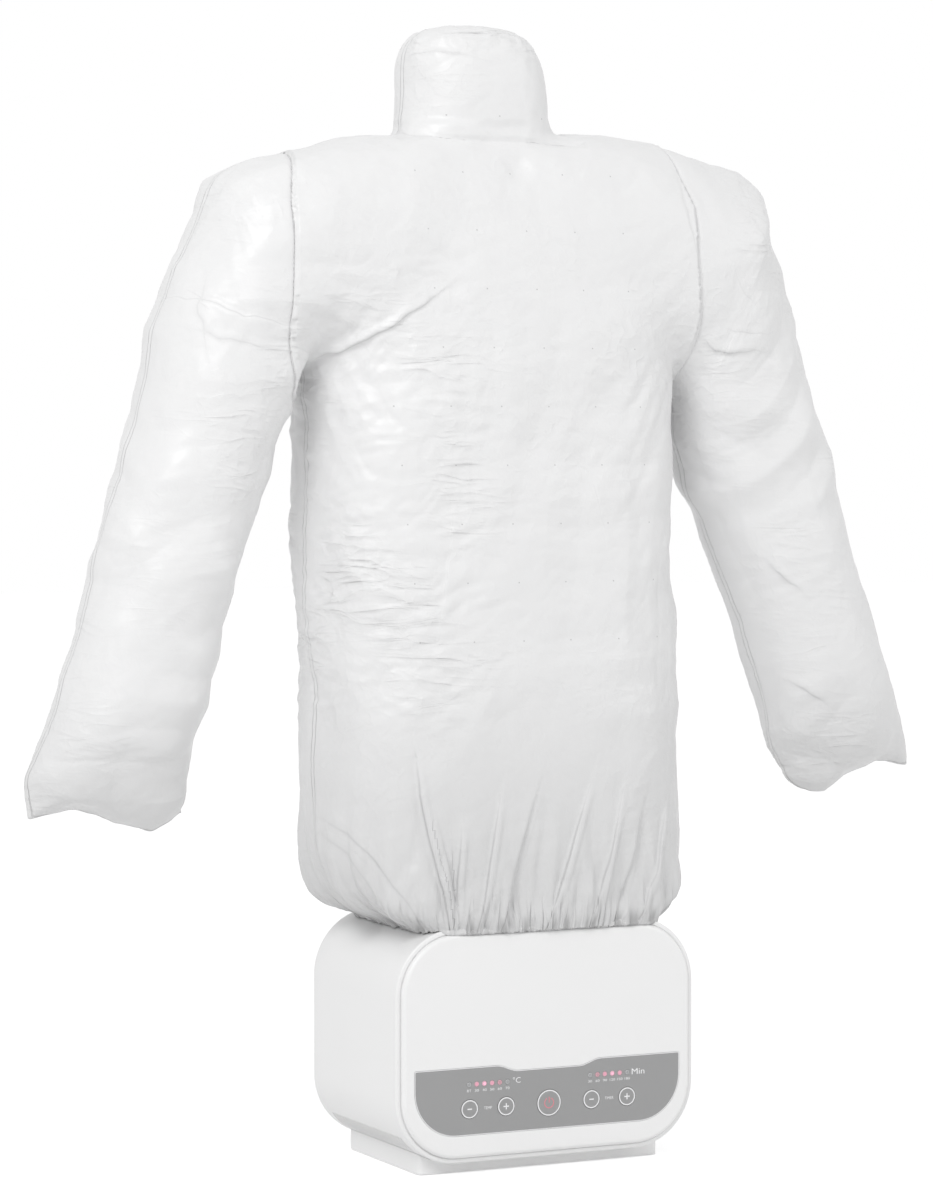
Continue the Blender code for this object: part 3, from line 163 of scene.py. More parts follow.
def light_studio():
    """An even white tent, one wide soft lamp from the upper front left and a weak one from the right."""
    bpy.context.scene.view_settings.view_transform = "Standard"
    world = bpy.data.worlds.new("studio_tent")
    world.use_nodes = True
    bpy.context.scene.world = world
    tree = world.node_tree
    tree.nodes.clear()
    seen, lighting = (Value(node_of(tree, "Background", {"Color": (1, 1, 1, 1), "Strength": strength}))
                      for strength in (1.0, 0.66))
    mixed = node_of(tree, "MixShader", {0: seen_directly(tree), 1: lighting, 2: seen})
    node_of(tree, "OutputWorld", {"Surface": Value(mixed)})
    lamps = (
        ("upper_left_softbox", (-2.4, -2.1, 2.9), 1.5, 57.0),
        ("right_softbox", (2.6, -2.2, 1.6), 1.6, 14.0),
    )
    for name, place, size, power in lamps:
        lamp = with_settings(bpy.data.lights.new(name, "AREA"), shape="SQUARE", size=size, energy=power)
        holder = in_scene(name, lamp)
        holder.location = place
        holder.rotation_euler = (Vector((0, 0, 0.6)) - Vector(place)).to_track_quat("-Z", "Y").to_euler()


def lay_floor():
    """A plain white floor one millimetre below the plinth, where the rubber feet stand."""
    data = bpy.data.meshes.new("studio_floor")
    reach, level = 14.0, -0.001
    corners = [(x * reach, y * reach, level) for x, y in ((-1, -1), (1, -1), (1, 1), (-1, 1))]
    data.from_pydata(corners, [], [range(4)])
    floor = in_scene("studio_floor", data)
    paint = new_finish("floor_paint", 0.86, 0.9, Specular_IOR_Level=0.1, Emission_Color=(1, 1, 1, 1))
    feed(paint, "Emission Strength", seen_directly(paint.node_tree) * 0.46)
    data.materials.append(paint)


# Finishes.

def rgba(shade):
    """A colour of three numbers, or the neutral grey of one."""
    return (*shade, 1) if isinstance(shade, tuple) else (shade, shade, shade, 1)


def new_finish(name, colour, roughness, metallic=0.0, **sockets):
    """A Principled finish with its plain values on the shader's own sockets."""
    made = bpy.data.materials.new(name)
    made.use_nodes = True
    inputs = made.node_tree.nodes["Principled BSDF"].inputs
    inputs["Base Color"].default_value = rgba(colour)
    inputs["Roughness"].default_value = roughness
    inputs["Metallic"].default_value = metallic
    for socket, value in sockets.items():
        inputs[socket.replace("_", " ")].default_value = value
    return made


def feed(made, socket, value):
    """Lets a socket of the shader follow a value."""
    made.node_tree.links.new(value.socket, made.node_tree.nodes["Principled BSDF"].inputs[socket])


def surface_point(tree, stretch=(1, 1, 1)):
    """Object coordinates, stretched along the axes."""
    place = Value(node_of(tree, "TexCoord"), "Object")
    return Value(node_of(tree, "Mapping", {"Vector": place, "Scale": stretch}))


def noise(tree, scale, detail=3.0, rough=0.55, stretch=(1, 1, 1), kind="FBM", distortion=0.0, point=None):
    """A noise value over the surface, or over another place; scale is in waves per metre."""
    inputs = {"Vector": point or surface_point(tree, stretch), "Scale": scale, "Detail": detail,
              "Roughness": rough, "Distortion": distortion}
    if kind == "RIDGED_MULTIFRACTAL":
        inputs["Offset"] = 1.0
    return Value(node_of(tree, "TexNoise", inputs, noise_type=kind), "Fac")


def ranged(value, low, high, start, end, kind="SMOOTHSTEP"):
    """A value carried from one range to another, by a smooth step or straight."""
    inputs = {"Value": value, "From Min": low, "From Max": high, "To Min": start, "To Max": end}
    return Value(node_of(value.tree, "MapRange", inputs, interpolation_type=kind), "Result")


def ramp_of(value, *stops):
    """A colour that follows a value through stops of a place and a shade."""
    node = node_of(value.tree, "ValToRGB", {"Fac": value})
    ramp = node.color_ramp.elements
    for step, (place, shade) in enumerate(stops):
        stop = ramp[step] if step < 2 else ramp.new(place)
        stop.position = place
        stop.color = rgba(shade)
    return Value(node, "Color")


def add_relief(made, height, strength, depth):
    """Adds one more bump layer under the shader, over the layers that are there."""
    tree = made.node_tree
    bump = node_of(tree, "Bump", {"Strength": strength, "Distance": depth, "Height": height})
    normal = tree.nodes["Principled BSDF"].inputs["Normal"]
    if normal.links:
        tree.links.new(normal.links[0].from_socket, bump.inputs["Normal"])
    tree.links.new(bump.outputs["Normal"], normal)


def vary(made, socket, value, low, high):
    """Lets a shader value follow a texture between two ends."""
    feed(made, socket, ranged(value, 0.3, 0.7, low, high, "LINEAR"))


def mottle(made, value, dark, light):
    """Lets the colour drift between two near shades."""
    feed(made, "Base Color", ramp_of(value, (0.3, dark), (0.7, light)))


def moulded(name, dark, light, roughness, grain=1500.0, depth=0.00003):
    """Moulded plastic: a fine spark-eroded grain, a slow drift of shade and of gloss."""
    made = new_finish(name, light, roughness)
    tree = made.node_tree
    mottle(made, noise(tree, 9.0, 2.0), dark, light)
    vary(made, "Roughness", noise(tree, 14.0, 2.0), roughness - 0.008, roughness + 0.008)
    add_relief(made, noise(tree, grain, 2.0, 0.6), 0.35, depth)
    return made


def brushed_metal(name, dark, light, roughness, stretch):
    """Metal with fine drawing marks along one axis."""
    made = new_finish(name, light, roughness, 1.0)
    tree = made.node_tree
    marks = noise(tree, 900.0, 3.0, 0.6, stretch)
    mottle(made, marks, dark, light)
    vary(made, "Roughness", noise(tree, 160.0, 3.0, 0.6, stretch), roughness - 0.06, roughness + 0.10)
    add_relief(made, marks, 0.25, 0.00003)
    return made


def board_laminate():
    """Green board: a woven glass ground under lacquer, with paler square tracks."""
    ground, track = (0.03, 0.20, 0.10), (0.07, 0.36, 0.18)
    made = new_finish("board_laminate", ground, 0.40)
    tree = made.node_tree
    tracks = node_of(tree, "TexBrick", {
        "Vector": surface_point(tree, (1, 0.9, 1)), "Color1": (0.02, 0.16, 0.08, 1), "Color2": rgba(ground),
        "Mortar": rgba(track), "Scale": 120.0, "Mortar Size": 0.03,
    })
    feed(made, "Base Color", Value(tracks, "Color"))
    add_relief(made, noise(tree, 2400.0, 1.0), 0.2, 0.00002)
    return made


def clear_lens():
    """The clear plastic of the light guides."""
    made = new_finish("light_guide", (0.72, 0.72, 0.74), 0.22, IOR=1.49)
    add_relief(made, noise(made.node_tree, 900.0), 0.2, 0.00002)
    return made


def ink(name, dark, light, roughness=0.45):
    """Printing ink: a thin, slightly uneven layer."""
    made = new_finish(name, light, roughness)
    mottle(made, noise(made.node_tree, 700.0, 3.0), dark, light)
    add_relief(made, noise(made.node_tree, 2600.0, 2.0), 0.3, 0.00001)
    return made


def lit(name, colour, glow, strength):
    """A light that is on behind its clear stud, brightest in patches."""
    made = new_finish(name, colour, 0.30, Emission_Color=rgba(glow))
    vary(made, "Emission Strength", noise(made.node_tree, 420.0, 2.0), strength * 0.85, strength * 1.15)
    return made


FINISHES = {
    # The cover's and the plinth's plastic are a shade lighter than the housing's as painted light: the cover's
    # brightens its front face, and the plinth's makes up for the shade under the housing.
    "housing": moulded("housing_plastic", 0.876, 0.884, 0.40),
    "cover": moulded("cover_plastic", 0.886, 0.892, 0.36, 2200.0, 0.00002),
    "plinth": moulded("plinth_plastic", 0.900, 0.908, 0.44),
    "grey_film": moulded("grey_film", (0.328, 0.328, 0.330), (0.336, 0.336, 0.338), 0.36, 3200.0, 0.00001),
    "key": moulded("key_film", (0.320, 0.320, 0.322), (0.328, 0.328, 0.330), 0.34, 3200.0, 0.00001),
    "rubber": moulded("foot_rubber", 0.20, 0.26, 0.80, 1300.0, 0.00006),
    "dark": moulded("dark_plastic", (0.035, 0.035, 0.038), (0.055, 0.055, 0.06), 0.48),
    "duct": moulded("duct_plastic", (0.60, 0.59, 0.56), (0.68, 0.67, 0.64), 0.52),
    "lead": moulded("lead_sleeve", (0.70, 0.70, 0.68), (0.80, 0.80, 0.78), 0.58),
    "steel": brushed_metal("bright_steel", (0.50, 0.50, 0.52), (0.64, 0.64, 0.66), 0.30, (1, 1, 0.08)),
    "aluminium": brushed_metal("heater_aluminium", (0.66, 0.66, 0.68), (0.80, 0.80, 0.82), 0.36, (0.1, 1, 1)),
    "board": board_laminate(),
    "lens": clear_lens(),
    "white_ink": ink("white_ink", (0.86, 0.86, 0.87), (0.92, 0.92, 0.93)),
    "grey_ink": ink("grey_ink", (0.52, 0.53, 0.53), (0.58, 0.59, 0.59)),
    # Painted glow: the pale pink given to the rings round the lit lights.
    "painted_pink_glow": ink("painted_pink_glow", (0.74, 0.44, 0.50), (0.80, 0.50, 0.56)),
    "pink_ink": ink("pink_ink", (0.70, 0.22, 0.26), (0.78, 0.27, 0.32)),
    "lit_dim": lit("light_on_dim", (0.52, 0.30, 0.34), (1.0, 0.45, 0.58), 0.05),
    "lit_pink": lit("light_on_pink", (0.74, 0.34, 0.44), (1.0, 0.45, 0.60), 0.14),
    "lit_bright": lit("light_on_bright", (0.88, 0.46, 0.60), (1.0, 0.55, 0.72), 0.26),
    "unlit": ink("light_off", (0.34, 0.34, 0.35), (0.39, 0.39, 0.40), 0.30),
}


# Making meshes and pieces.

def points_of(data):
    """A mesh's points as an array."""
    flat = np.zeros(len(data.vertices) * 3, np.float32)
    data.vertices.foreach_get("co", flat)
    return flat.reshape(-1, 3).astype(float)


def normals_of(data):
    """A mesh's point normals as an array."""
    flat = np.zeros(len(data.vertices) * 3, np.float32)
    data.vertex_normals.foreach_get("vector", flat)
    return flat.reshape(-1, 3).astype(float)


def move_to(data, points):
    """Puts the points back into the mesh."""
    data.vertices.foreach_set("co", points.astype(np.float32).ravel())
    data.update()


def mesh_of(points, faces):
    """A mesh of points and faces, with doubles merged and its faces turned outwards."""
    data = bpy.data.meshes.new("form")
    data.from_pydata(np.asarray(points, float).reshape(-1, 3).tolist(), [], faces)
    edit = bmesh.new()
    edit.from_mesh(data)
    bmesh.ops.remove_doubles(edit, verts=edit.verts, dist=1e-6)
    bmesh.ops.recalc_face_normals(edit, faces=edit.faces)
    edit.to_mesh(data)
    edit.free()
    return data


def mesh_from(edit):
    """The mesh of an editable form, which ends here."""
    data = bpy.data.meshes.new("form")
    edit.to_mesh(data)
    edit.free()
    return data


def joined(parts):
    """Several meshes as one."""
    edit = bmesh.new()
    for data in parts:
        edit.from_mesh(data)
        bpy.data.meshes.remove(data)
    return mesh_from(edit)


def cad_form(node):
    """An editable copy of a CAD node's own form, its loose triangles merged."""
    edit = bmesh.new()
    edit.from_mesh(NODES[node].data)
    bmesh.ops.remove_doubles(edit, verts=edit.verts, dist=2e-6)
    return edit


def rounded_rectangle(half_width, half_height, corner, steps=16):
    """Four quarter circles of one radius joined by straight runs: the points, and the way out at each."""
    angle = np.linspace(0, math.pi / 2, steps + 1)
    turns = (np.arange(4)[:, None] * math.pi / 2 - math.pi / 2 + angle).ravel()
    out = np.stack([np.cos(turns), np.sin(turns)], -1)
    signs = np.array([(1, -1), (1, 1), (-1, 1), (-1, -1)]).repeat(steps + 1, axis=0)
    middles = signs * (half_width - corner, half_height - corner)
    return middles + corner * out, out


def circle(start, end, count):
    """Points of the unit circle between two angles in degrees, both included."""
    angle = np.radians(np.linspace(start, end, count))
    return np.stack([np.cos(angle), np.sin(angle)], -1)


def band_faces(rows, around, closed_rows=False):
    """Quads between rows of points that run round."""
    index = np.arange(rows * around).reshape(rows, around)
    low = index if closed_rows else index[:-1]
    high = np.roll(index, -1, axis=0) if closed_rows else index[1:]
    quads = np.stack([low, np.roll(low, -1, axis=1), np.roll(high, -1, axis=1), high], -1)
    return quads.reshape(-1, 4).tolist()


def end_faces(rows, around):
    """One face over the first row of points and one over the last."""
    return [list(range(around)), list(range((rows - 1) * around, rows * around))]


def upright(flat, depths, centre=(0, 0)):
    """Rows of points in X and Z, each row at its own depth along Y."""
    depth = np.broadcast_to(np.array(depths, float)[:, None], flat.shape[:2])
    return np.stack([flat[..., 0] + centre[0], depth, flat[..., 1] + centre[1]], -1)


def round_the_housing(profile, closed=False):
    """A profile carried round the housing's outline: each profile row is (how far in, how deep along Y)."""
    outline, out = rounded_rectangle(HOUSING_HALF_WIDTH, HOUSING_HALF_HEIGHT, HOUSING_CORNER, 24)
    rows = np.array(profile, float)
    points = upright(outline[None] - rows[:, 0, None, None] * out[None], rows[:, 1], (0, HOUSING_MIDDLE))
    faces = band_faces(*points.shape[:2], closed)
    return mesh_of(points, faces if closed else faces + end_faces(*points.shape[:2]))


def turned(profile, centre, sides=64, closed=False):
    """A profile of (radius, depth) turned round an axis along Y; a radius of zero closes it at a pole."""
    rows = np.array(profile, float)
    angle = np.arange(sides) * math.tau / sides
    ring = np.stack([np.cos(angle), np.sin(angle)], -1)
    points = upright(rows[:, 0, None, None] * ring[None], rows[:, 1], centre)
    return mesh_of(points, band_faces(len(rows), sides, closed))


def rod(radius, front, back, centre, sides):
    """A closed round bar along Y."""
    return turned([(0, front), (radius, front), (radius, back), (0, back)], centre, sides)


def slab(outline, front, back):
    """A flat plate of an outline in X and Z between two depths."""
    flat = np.array(outline, float)
    points = upright(np.stack([flat, flat]), (front, back))
    return mesh_of(points, band_faces(2, len(flat)) + end_faces(2, len(flat)))


def arc(middle, edge, depth_middle, depth_edge, steps=6):
    """Profile rows of a quarter circle that turns from facing along Y to facing outwards."""
    share = np.linspace(0, math.pi / 2, steps + 1)
    return [(middle + (edge - middle) * math.sin(a), depth_edge + (depth_middle - depth_edge) * math.cos(a))
            for a in share]


def boxes(centres, size, turn=0.0):
    """Many equal boxes in one mesh; they may be turned about Y."""
    signs = np.array([(x, y, z) for x in (-1, 1) for y in (-1, 1) for z in (-1, 1)], float)
    x, y, z = (signs * np.array(size) / 2).T
    c, s = math.cos(turn), math.sin(turn)
    points = np.array(centres, float)[:, None] + np.stack([x * c + z * s, y, z * c - x * s], -1)[None]
    one = np.array([(0, 1, 3, 2), (4, 6, 7, 5), (0, 4, 5, 1), (2, 3, 7, 6), (0, 2, 6, 4), (1, 5, 7, 3)])
    faces = (one[None] + 8 * np.arange(len(centres))[:, None, None]).reshape(-1, 4).tolist()
    return mesh_of(points, faces)


def applied(piece):
    """Turns the piece's modifiers into its mesh."""
    bpy.context.view_layer.update()
    seen = piece.evaluated_get(bpy.context.evaluated_depsgraph_get())
    data = bpy.data.meshes.new_from_object(seen)
    piece.modifiers.clear()
    old = piece.data
    piece.data = data
    bpy.data.meshes.remove(old)


def cut_out(piece, tools):
    """Takes closed cutting bodies out of a closed piece."""
    cutters = [in_scene("cutter", tool) for tool in tools]
    for cutter in cutters:
        step = piece.modifiers.new("cut", "BOOLEAN")
        with_settings(step, operation="DIFFERENCE", solver="EXACT", object=cutter)
    applied(piece)
    for cutter in cutters:
        bpy.data.objects.remove(cutter, do_unlink=True)


def smooth(piece, angle=32, edge=0.0):
    """Smooth shading with sharp edges kept by angle, and a fine broken edge where one is asked."""
    piece.data.shade_smooth()
    piece.data.set_sharp_from_angle(angle=math.radians(angle))
    if edge:
        with_settings(piece.modifiers.new("broken_edge", "BEVEL"), width=edge, segments=2, limit_method="ANGLE",
                      angle_limit=math.radians(angle), use_clamp_overlap=True)
    piece.modifiers.new("even_shading", "WEIGHTED_NORMAL").keep_sharp = True


def make_piece(name, data, finish, body, slot, *nodes, cuts=(), angle=0, edge=0.0):
    """A piece: its mesh, cut, finished and perhaps smoothed, and its body and its CAD nodes; its slot is not
    used.
    """
    piece = in_scene(name, data)
    if cuts:
        cut_out(piece, cuts)
    piece.data.name = name
    piece.data.materials.clear()
    piece.data.materials.append(FINISHES[finish])
    if angle:
        smooth(piece, angle, edge)
    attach(piece, body)
    if nodes:
        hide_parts(*nodes)
    return piece


# The base unit.

def make_housing():
    """The tub: a rounded rectangle carried from a soft back edge to the lip, then in as the inner wall."""
    edge, wall = HOUSING_BACK_EDGE, HOUSING_WALL
    mouth = COVER_INSET - COVER_GROOVE
    band_end = LIP_FRONT + LIP_BAND_DEPTH
    broken = 0.0005
    profile = arc(edge, 0, BACK, BACK - edge)
    profile += [(0, BACK - 0.05), (0, 0.0), (0, LIP_FRONT + 0.03)]
    profile += reversed(arc(LIP_EDGE, 0, LIP_FRONT, LIP_FRONT + LIP_EDGE))
    profile += [(mouth - broken, LIP_FRONT), (mouth, LIP_FRONT + broken), (mouth, band_end)]
    profile += [(wall, band_end), (wall, 0.0), (wall, BACK - wall)]
    outlet, _ = rounded_rectangle(OUTLET_HALF_WIDTH, OUTLET_HALF_DEPTH, OUTLET_CORNER, 8)
    around = len(outlet)
    hole = [np.column_stack([outlet, np.full(around, HOUSING_TOP + rise)]) for rise in (-0.02, 0.02)]
    rows = INTAKE_HEIGHT + (np.arange(INTAKE_ROWS) - (INTAKE_ROWS - 1) / 2) * INTAKE_PITCH
    slots = [(side * 0.033, BACK, z) for side in (-1, 1) for z in rows]
    cuts = [
        mesh_of(hole, band_faces(2, around) + end_faces(2, around)),
        boxes(slots, (0.056, 0.02, 0.0032)),
        boxes([(INLET[0], BACK, INLET[1])], (0.0286, 0.02, 0.0206)),
    ]
    slant = math.cos(LOUVRE_LEAN) * (HOUSING_CORNER - wall / 2)
    z = CORNER_Z - slant
    for side in (-1, 1):
        x = side * (CORNER_X + slant)
        centres = [(x, y, z) for y in (np.arange(LOUVRES) - (LOUVRES - 1) / 2) * LOUVRE_PITCH]
        cuts.append(boxes(centres, (0.012, 0.003, 0.021), side * LOUVRE_LEAN))
    cuts += [rod(HEAD_BORE, BACK - 0.02, BACK + 0.01, place, 24) for place in POSTS]
    make_piece("rear_housing_shell", round_the_housing(profile), "housing", "base", "white_plastic",
               "rear_housing", cuts=cuts, angle=34)
    back, front = BACK - wall - 0.0001, FRONT + COVER_WALL + 0.018 + 0.0003
    for number, place in enumerate(POSTS):
        section = [(POST_RADIUS, back), (POST_RADIUS, front), (SCREW_BORE, front), (SCREW_BORE, front + 0.003),
                   (HEAD_BORE, front + 0.003), (HEAD_BORE, back)]
        post = turned(section, place, 24, True)
        make_piece(f"screw_post_{number + 1}", post, "housing", "base", "white_plastic", angle=32)


def make_seam_tongue():
    """A narrow tongue between the lip and the cover, set back from both, that closes the groove."""
    gap = 0.0001
    low, high = COVER_INSET - COVER_GROOVE + gap, COVER_INSET - gap
    depth = LIP_FRONT + 0.0003
    rows = [(low, depth + 0.003), (low, depth + 2 * gap), (low + gap, depth), (high - gap, depth),
            (high, depth + 2 * gap), (high, depth + 0.003)]
    tongue = round_the_housing(rows, True)
    make_piece("seam_tongue", tongue, "housing", "base", "white_plastic", angle=50)


def overlay_outline(grow=0.0):
    """The film's edge: a top that dips in a cosine step towards the middle, and two large lower corners."""
    half, top, bottom = OVERLAY_HALF_WIDTH + grow, OVERLAY_TOP + grow, OVERLAY_BOTTOM - grow
    radius, small = OVERLAY_CORNER + grow, 0.002 + grow
    share = np.linspace(0, 1, 21)
    fall = OVERLAY_DIP * (1 + np.cos(math.pi * share)) / 2
    dip = np.stack([DIP_START + DIP_LENGTH * share, top - fall], -1)
    upper = (half - small, top - small) + small * circle(90, 0, 7)
    lower = (half - radius, bottom + radius) + radius * circle(0, -90, 31)
    right = np.concatenate([dip, upper, lower])
    return np.concatenate([right, right[::-1] * (-1, 1)])


def panel_holes(front, back):
    """Cutting bodies for the five keys and the twelve lights."""
    tools = [rod(radius + KEY_GAP, front, back, (x, KEY_HEIGHT), 64) for x, radius in KEYS.values()]
    tools += [rod(LIGHT_HOLE, front, back, (side * x, LIGHT_HEIGHT), 24)
              for side in (-1, 1) for x in LIGHT_PLACES]
    return joined(tools)


def make_cover():
    """The front tray: a flat face, a quarter-round rim, a short skirt and the inner wall."""
    back, inside = FRONT + COVER_DEPTH, COVER_INSET + COVER_WALL
    profile = arc(COVER_INSET + COVER_EDGE, COVER_INSET, FRONT, FRONT + COVER_EDGE, 8)
    profile += [(COVER_INSET, back), (inside, back), (inside, FRONT + COVER_WALL)]
    tray = round_the_housing(profile)
    recess = slab(overlay_outline(0.0003), FRONT - 0.004, FRONT + OVERLAY_THICKNESS + 0.0003)
    cuts = (recess, panel_holes(FRONT - 0.006, FRONT + 0.008))
    make_piece("front_cover_shell", tray, "cover", "base", "white_plastic", "front_cover", cuts=cuts, angle=34)


def make_overlay():
    """The grey film in its recess, with a pale line round its edge."""
    film = slab(overlay_outline(), FRONT, FRONT + OVERLAY_THICKNESS)
    cuts = (panel_holes(FRONT - 0.002, FRONT + 0.002),)
    make_piece("control_film", film, "grey_film", "base", "grey_film", "control_overlay", cuts=cuts, angle=32)
    outer, inner = overlay_outline(-0.00005), overlay_outline(-0.0008)
    under, face = FRONT + 0.0001, FRONT - INK
    points = upright(np.stack([outer, outer, inner, inner]), (under, face, face, under))
    line = mesh_of(points, band_faces(4, len(outer), True))
    make_piece("film_edge_line", line, "white_ink", "base", "grey_film")


def make_sign(name, outline, finish, key):
    """A printed shape of an outline in X and Z on a key's face."""
    make_piece(name, slab(outline, KEY_FACE - INK, KEY_FACE + 0.00002), finish, key, "grey_film")


def bar(centre, width, height):
    """The corners of an upright rectangle."""
    corners = np.array([(-1, -1), (1, -1), (1, 1), (-1, 1)])
    return centre + corners * (width / 2, height / 2)


def cross(centre, reach, half):
    """The twelve corners of a plus sign: three at the end of each arm, turned four times."""
    x, z = centre
    corners = [(-reach, -half), (-half, -half), (-half, -reach), (half, -reach), (half, -half), (reach, -half),
               (reach, half), (half, half), (half, reach), (-half, reach), (-half, half), (-reach, half)]
    return [(x + a, z + b) for a, b in corners]


def open_ring(centre, inner, outer, gap, steps=40):
    """A ring that is open at the top by a gap in degrees."""
    ring = circle(90 + gap / 2, 450 - gap / 2, steps)
    return np.concatenate([outer * ring, inner * ring[::-1]]) + np.array(centre)


def make_keys():
    """Five caps with a broken rim and a stem, each with its printed ring and sign."""
    back, stem, ring_width = KEY_FACE + 0.0022, 0.0028, 0.0012
    under, face = KEY_FACE + 0.00004, KEY_FACE - INK
    for key, (x, radius) in KEYS.items():
        node, centre = key + "_key", (x, KEY_HEIGHT)
        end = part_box(node)[1].y
        rows = [(0, KEY_FACE), (radius - 0.0005, KEY_FACE), (radius - 0.00015, KEY_FACE + 0.00012),
                (radius, KEY_FACE + 0.0005), (radius, back), (stem, back), (stem, end), (0, end)]
        cap = turned(rows, centre, 96)
        make_piece(key + "_cap", cap, "key", key, "grey_film", node, angle=50)
        outer = radius - 0.0002
        inner = outer - ring_width
        rim = [(inner, under), (inner, face), (outer, face), (outer, under)]
        ring = turned(rim, centre, 96, True)
        make_piece(key + "_ring", ring, "white_ink", key, "grey_film")
        if key == "power":
            make_sign("power_sign_ring", open_ring(centre, 0.0045, 0.0055, 56), "pink_ink", key)
            make_sign("power_sign_bar", bar((x, KEY_HEIGHT + 0.0030), 0.0010, 0.0060), "pink_ink", key)
        elif key.endswith("minus"):
            make_sign(key + "_sign", bar(centre, 0.0050, 0.0012), "white_ink", key)
        else:
            make_sign(key + "_sign", cross(centre, 0.0031, 0.0006), "white_ink", key)


def make_lights():
    """Twelve round studs with a printed ring on each rim, pale pink round a lit stud as painted glow of its
    light; eight are lit, brightest in the middle.
    """
    states = {
        "temp": ("unlit", "lit_pink", "lit_bright", "lit_pink", "lit_dim", "unlit"),
        "timer": ("unlit", "lit_dim", "lit_pink", "lit_bright", "lit_pink", "unlit"),
    }
    dome = [(0, FRONT - 0.0002), (0.0016, FRONT - 0.0002), (0.0022, FRONT - 0.0001),
            (0.0024, FRONT + 0.0001), (0.0024, FRONT + 0.0009), (0, FRONT + 0.0009)]
    rim = [(0.0016, FRONT - 0.0001), (0.0016, FRONT - 0.00026),
           (0.0022, FRONT - 0.00024), (0.0022, FRONT - 0.0001)]
    for name, row in states.items():
        places = LIGHT_PLACES if name == "timer" else [-x for x in reversed(LIGHT_PLACES)]
        for number, (x, state) in enumerate(zip(places, row), 1):
            stud = turned(dome, (x, LIGHT_HEIGHT), 32)
            make_piece(f"{name}_light_{number}", stud, state, "base", "light_guide", angle=50)
            ring = turned(rim, (x, LIGHT_HEIGHT), 32, True)
            # A lit stud's ring is pale pink: painted glow of its light.
            shade = "grey_ink" if state == "unlit" else "painted_pink_glow"
            make_piece(f"{name}_light_ring_{number}", ring, shade, "base", "grey_film")


def make_letters(name, words, x, z, height, width=None):
    """Generic letters or numbers printed on the film: centred at a place, a given height and perhaps width."""
    curve = with_settings(bpy.data.curves.new(name, "FONT"), body=words, size=1.0, resolution_u=3)
    holder = in_scene(name, curve)
    bpy.context.view_layer.update()
    data = bpy.data.meshes.new_from_object(holder.evaluated_get(bpy.context.evaluated_depsgraph_get()))
    bpy.data.objects.remove(holder, do_unlink=True)
    flat = points_of(data).astype(np.float32)
    low, high = flat.min(0), flat.max(0)
    scale_z = height / (high[1] - low[1])
    scale_x = scale_z if width is None else width / (high[0] - low[0])
    move_to(data, np.stack([
        (flat[:, 0] - (low[0] + high[0]) / 2) * scale_x + x,
        np.full(len(flat), FRONT - 0.00008),
        (flat[:, 1] - (low[1] + high[1]) / 2) * scale_z + z,
    ], -1))
    piece = make_piece(name, data, "white_ink", "base", "grey_film")
    with_settings(piece.modifiers.new("ink_layer", "SOLIDIFY"), thickness=INK, offset=-1)


def print_scales():
    """The numbers under the lights, the two small words between the keys, and the two units."""
    low = LIGHT_HEIGHT - 0.0062
    for x, words in zip(reversed(LIGHT_PLACES), ("RT", "30", "40", "50", "60", "70")):
        make_letters("temp_mark_" + words, words, -x, low, 0.0025, 0.0045)
    for x, words in zip(LIGHT_PLACES, ("30", "60", "90", "120", "150", "180")):
        make_letters("timer_mark_" + words, words, x, low, 0.0025, 0.0045 if len(words) < 3 else 0.0060)
    make_letters("temp_word", "TEMP", -0.0675, KEY_HEIGHT, 0.0028, 0.0088)
    make_letters("timer_word", "TIMER", 0.0675, KEY_HEIGHT, 0.0028, 0.0098)
    make_letters("degree_unit", "°C", -0.0358, LIGHT_HEIGHT + 0.0010, 0.0058, 0.0085)
    make_letters("minute_unit", "Min", 0.1003, LIGHT_HEIGHT + 0.0004, 0.0058, 0.0145)


def corner_height(x):
    """Height of the housing's round corner above its own middle at x, on the circle of its radius."""
    over = np.clip(np.abs(x) - CORNER_X, 0, HOUSING_CORNER)
    return np.sqrt(HOUSING_CORNER ** 2 - over ** 2)


def finish_cad_nodes():
    """The better finishes of the CAD nodes that stay, and the smoothed forms of those near the surface."""
    kept = {
        "board": ("control_board", "power_board"),
        "duct": ("outlet_duct", "heater_frame"),
        "aluminium": ("heater_bar",),
        "dark": ("thermal_cutout", "fan_frame", "fan_wheel"),
        "steel": ("motor_shaft", "fan_motor", "motor_bracket", "bracket_screw", "cover_screw", "plinth_screw"),
        "lead": ("mains_lead", "heater_lead"),
        "lens": ("temp_light_guide", "timer_light_guide"),
    }
    for name, node in NODES.items():
        for finish, starts in kept.items():
            if name.startswith(starts):
                for place in node.material_slots:
                    place.material = FINISHES[finish]
    forms = [
        ("outlet_collar", "housing", "white_plastic", 0.0004),
        ("outlet_grille", "dark", "dark_plastic", 0.0003),
        ("mains_inlet", "dark", "dark_plastic", 0.0003),
    ]
    forms += [(f"rubber_foot_{number}", "rubber", "rubber_pad", 0.0004) for number in range(1, 5)]
    for node, finish, slot, edge in forms:
        form = mesh_from(cad_form(node))
        make_piece(node + "_form", form, finish, "base", slot, node, angle=32, edge=edge)


def make_plinth():
    """The foot block: the CAD form, sliced across its ends, whose top there follows the housing's underside."""
    form = cad_form("foot_plinth")
    for x in np.linspace(CORNER_X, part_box("foot_plinth")[1].x - 0.001, 12):
        for side in (-1, 1):
            whole = list(form.verts) + list(form.edges) + list(form.faces)
            bmesh.ops.bisect_plane(form, geom=whole, plane_co=(side * x, 0, 0), plane_no=(1, 0, 0), dist=1e-6)
    data = mesh_from(form)
    points = points_of(data)
    top = points[:, 2] > points[:, 2].max() - 0.0001
    under = CORNER_Z - corner_height(points[:, 0]) - 0.0003
    points[:, 2] = np.where(top, under, points[:, 2])
    move_to(data, points)
    make_piece("plinth_block", data, "plinth", "base", "white_plastic", "foot_plinth", angle=32, edge=0.0005)


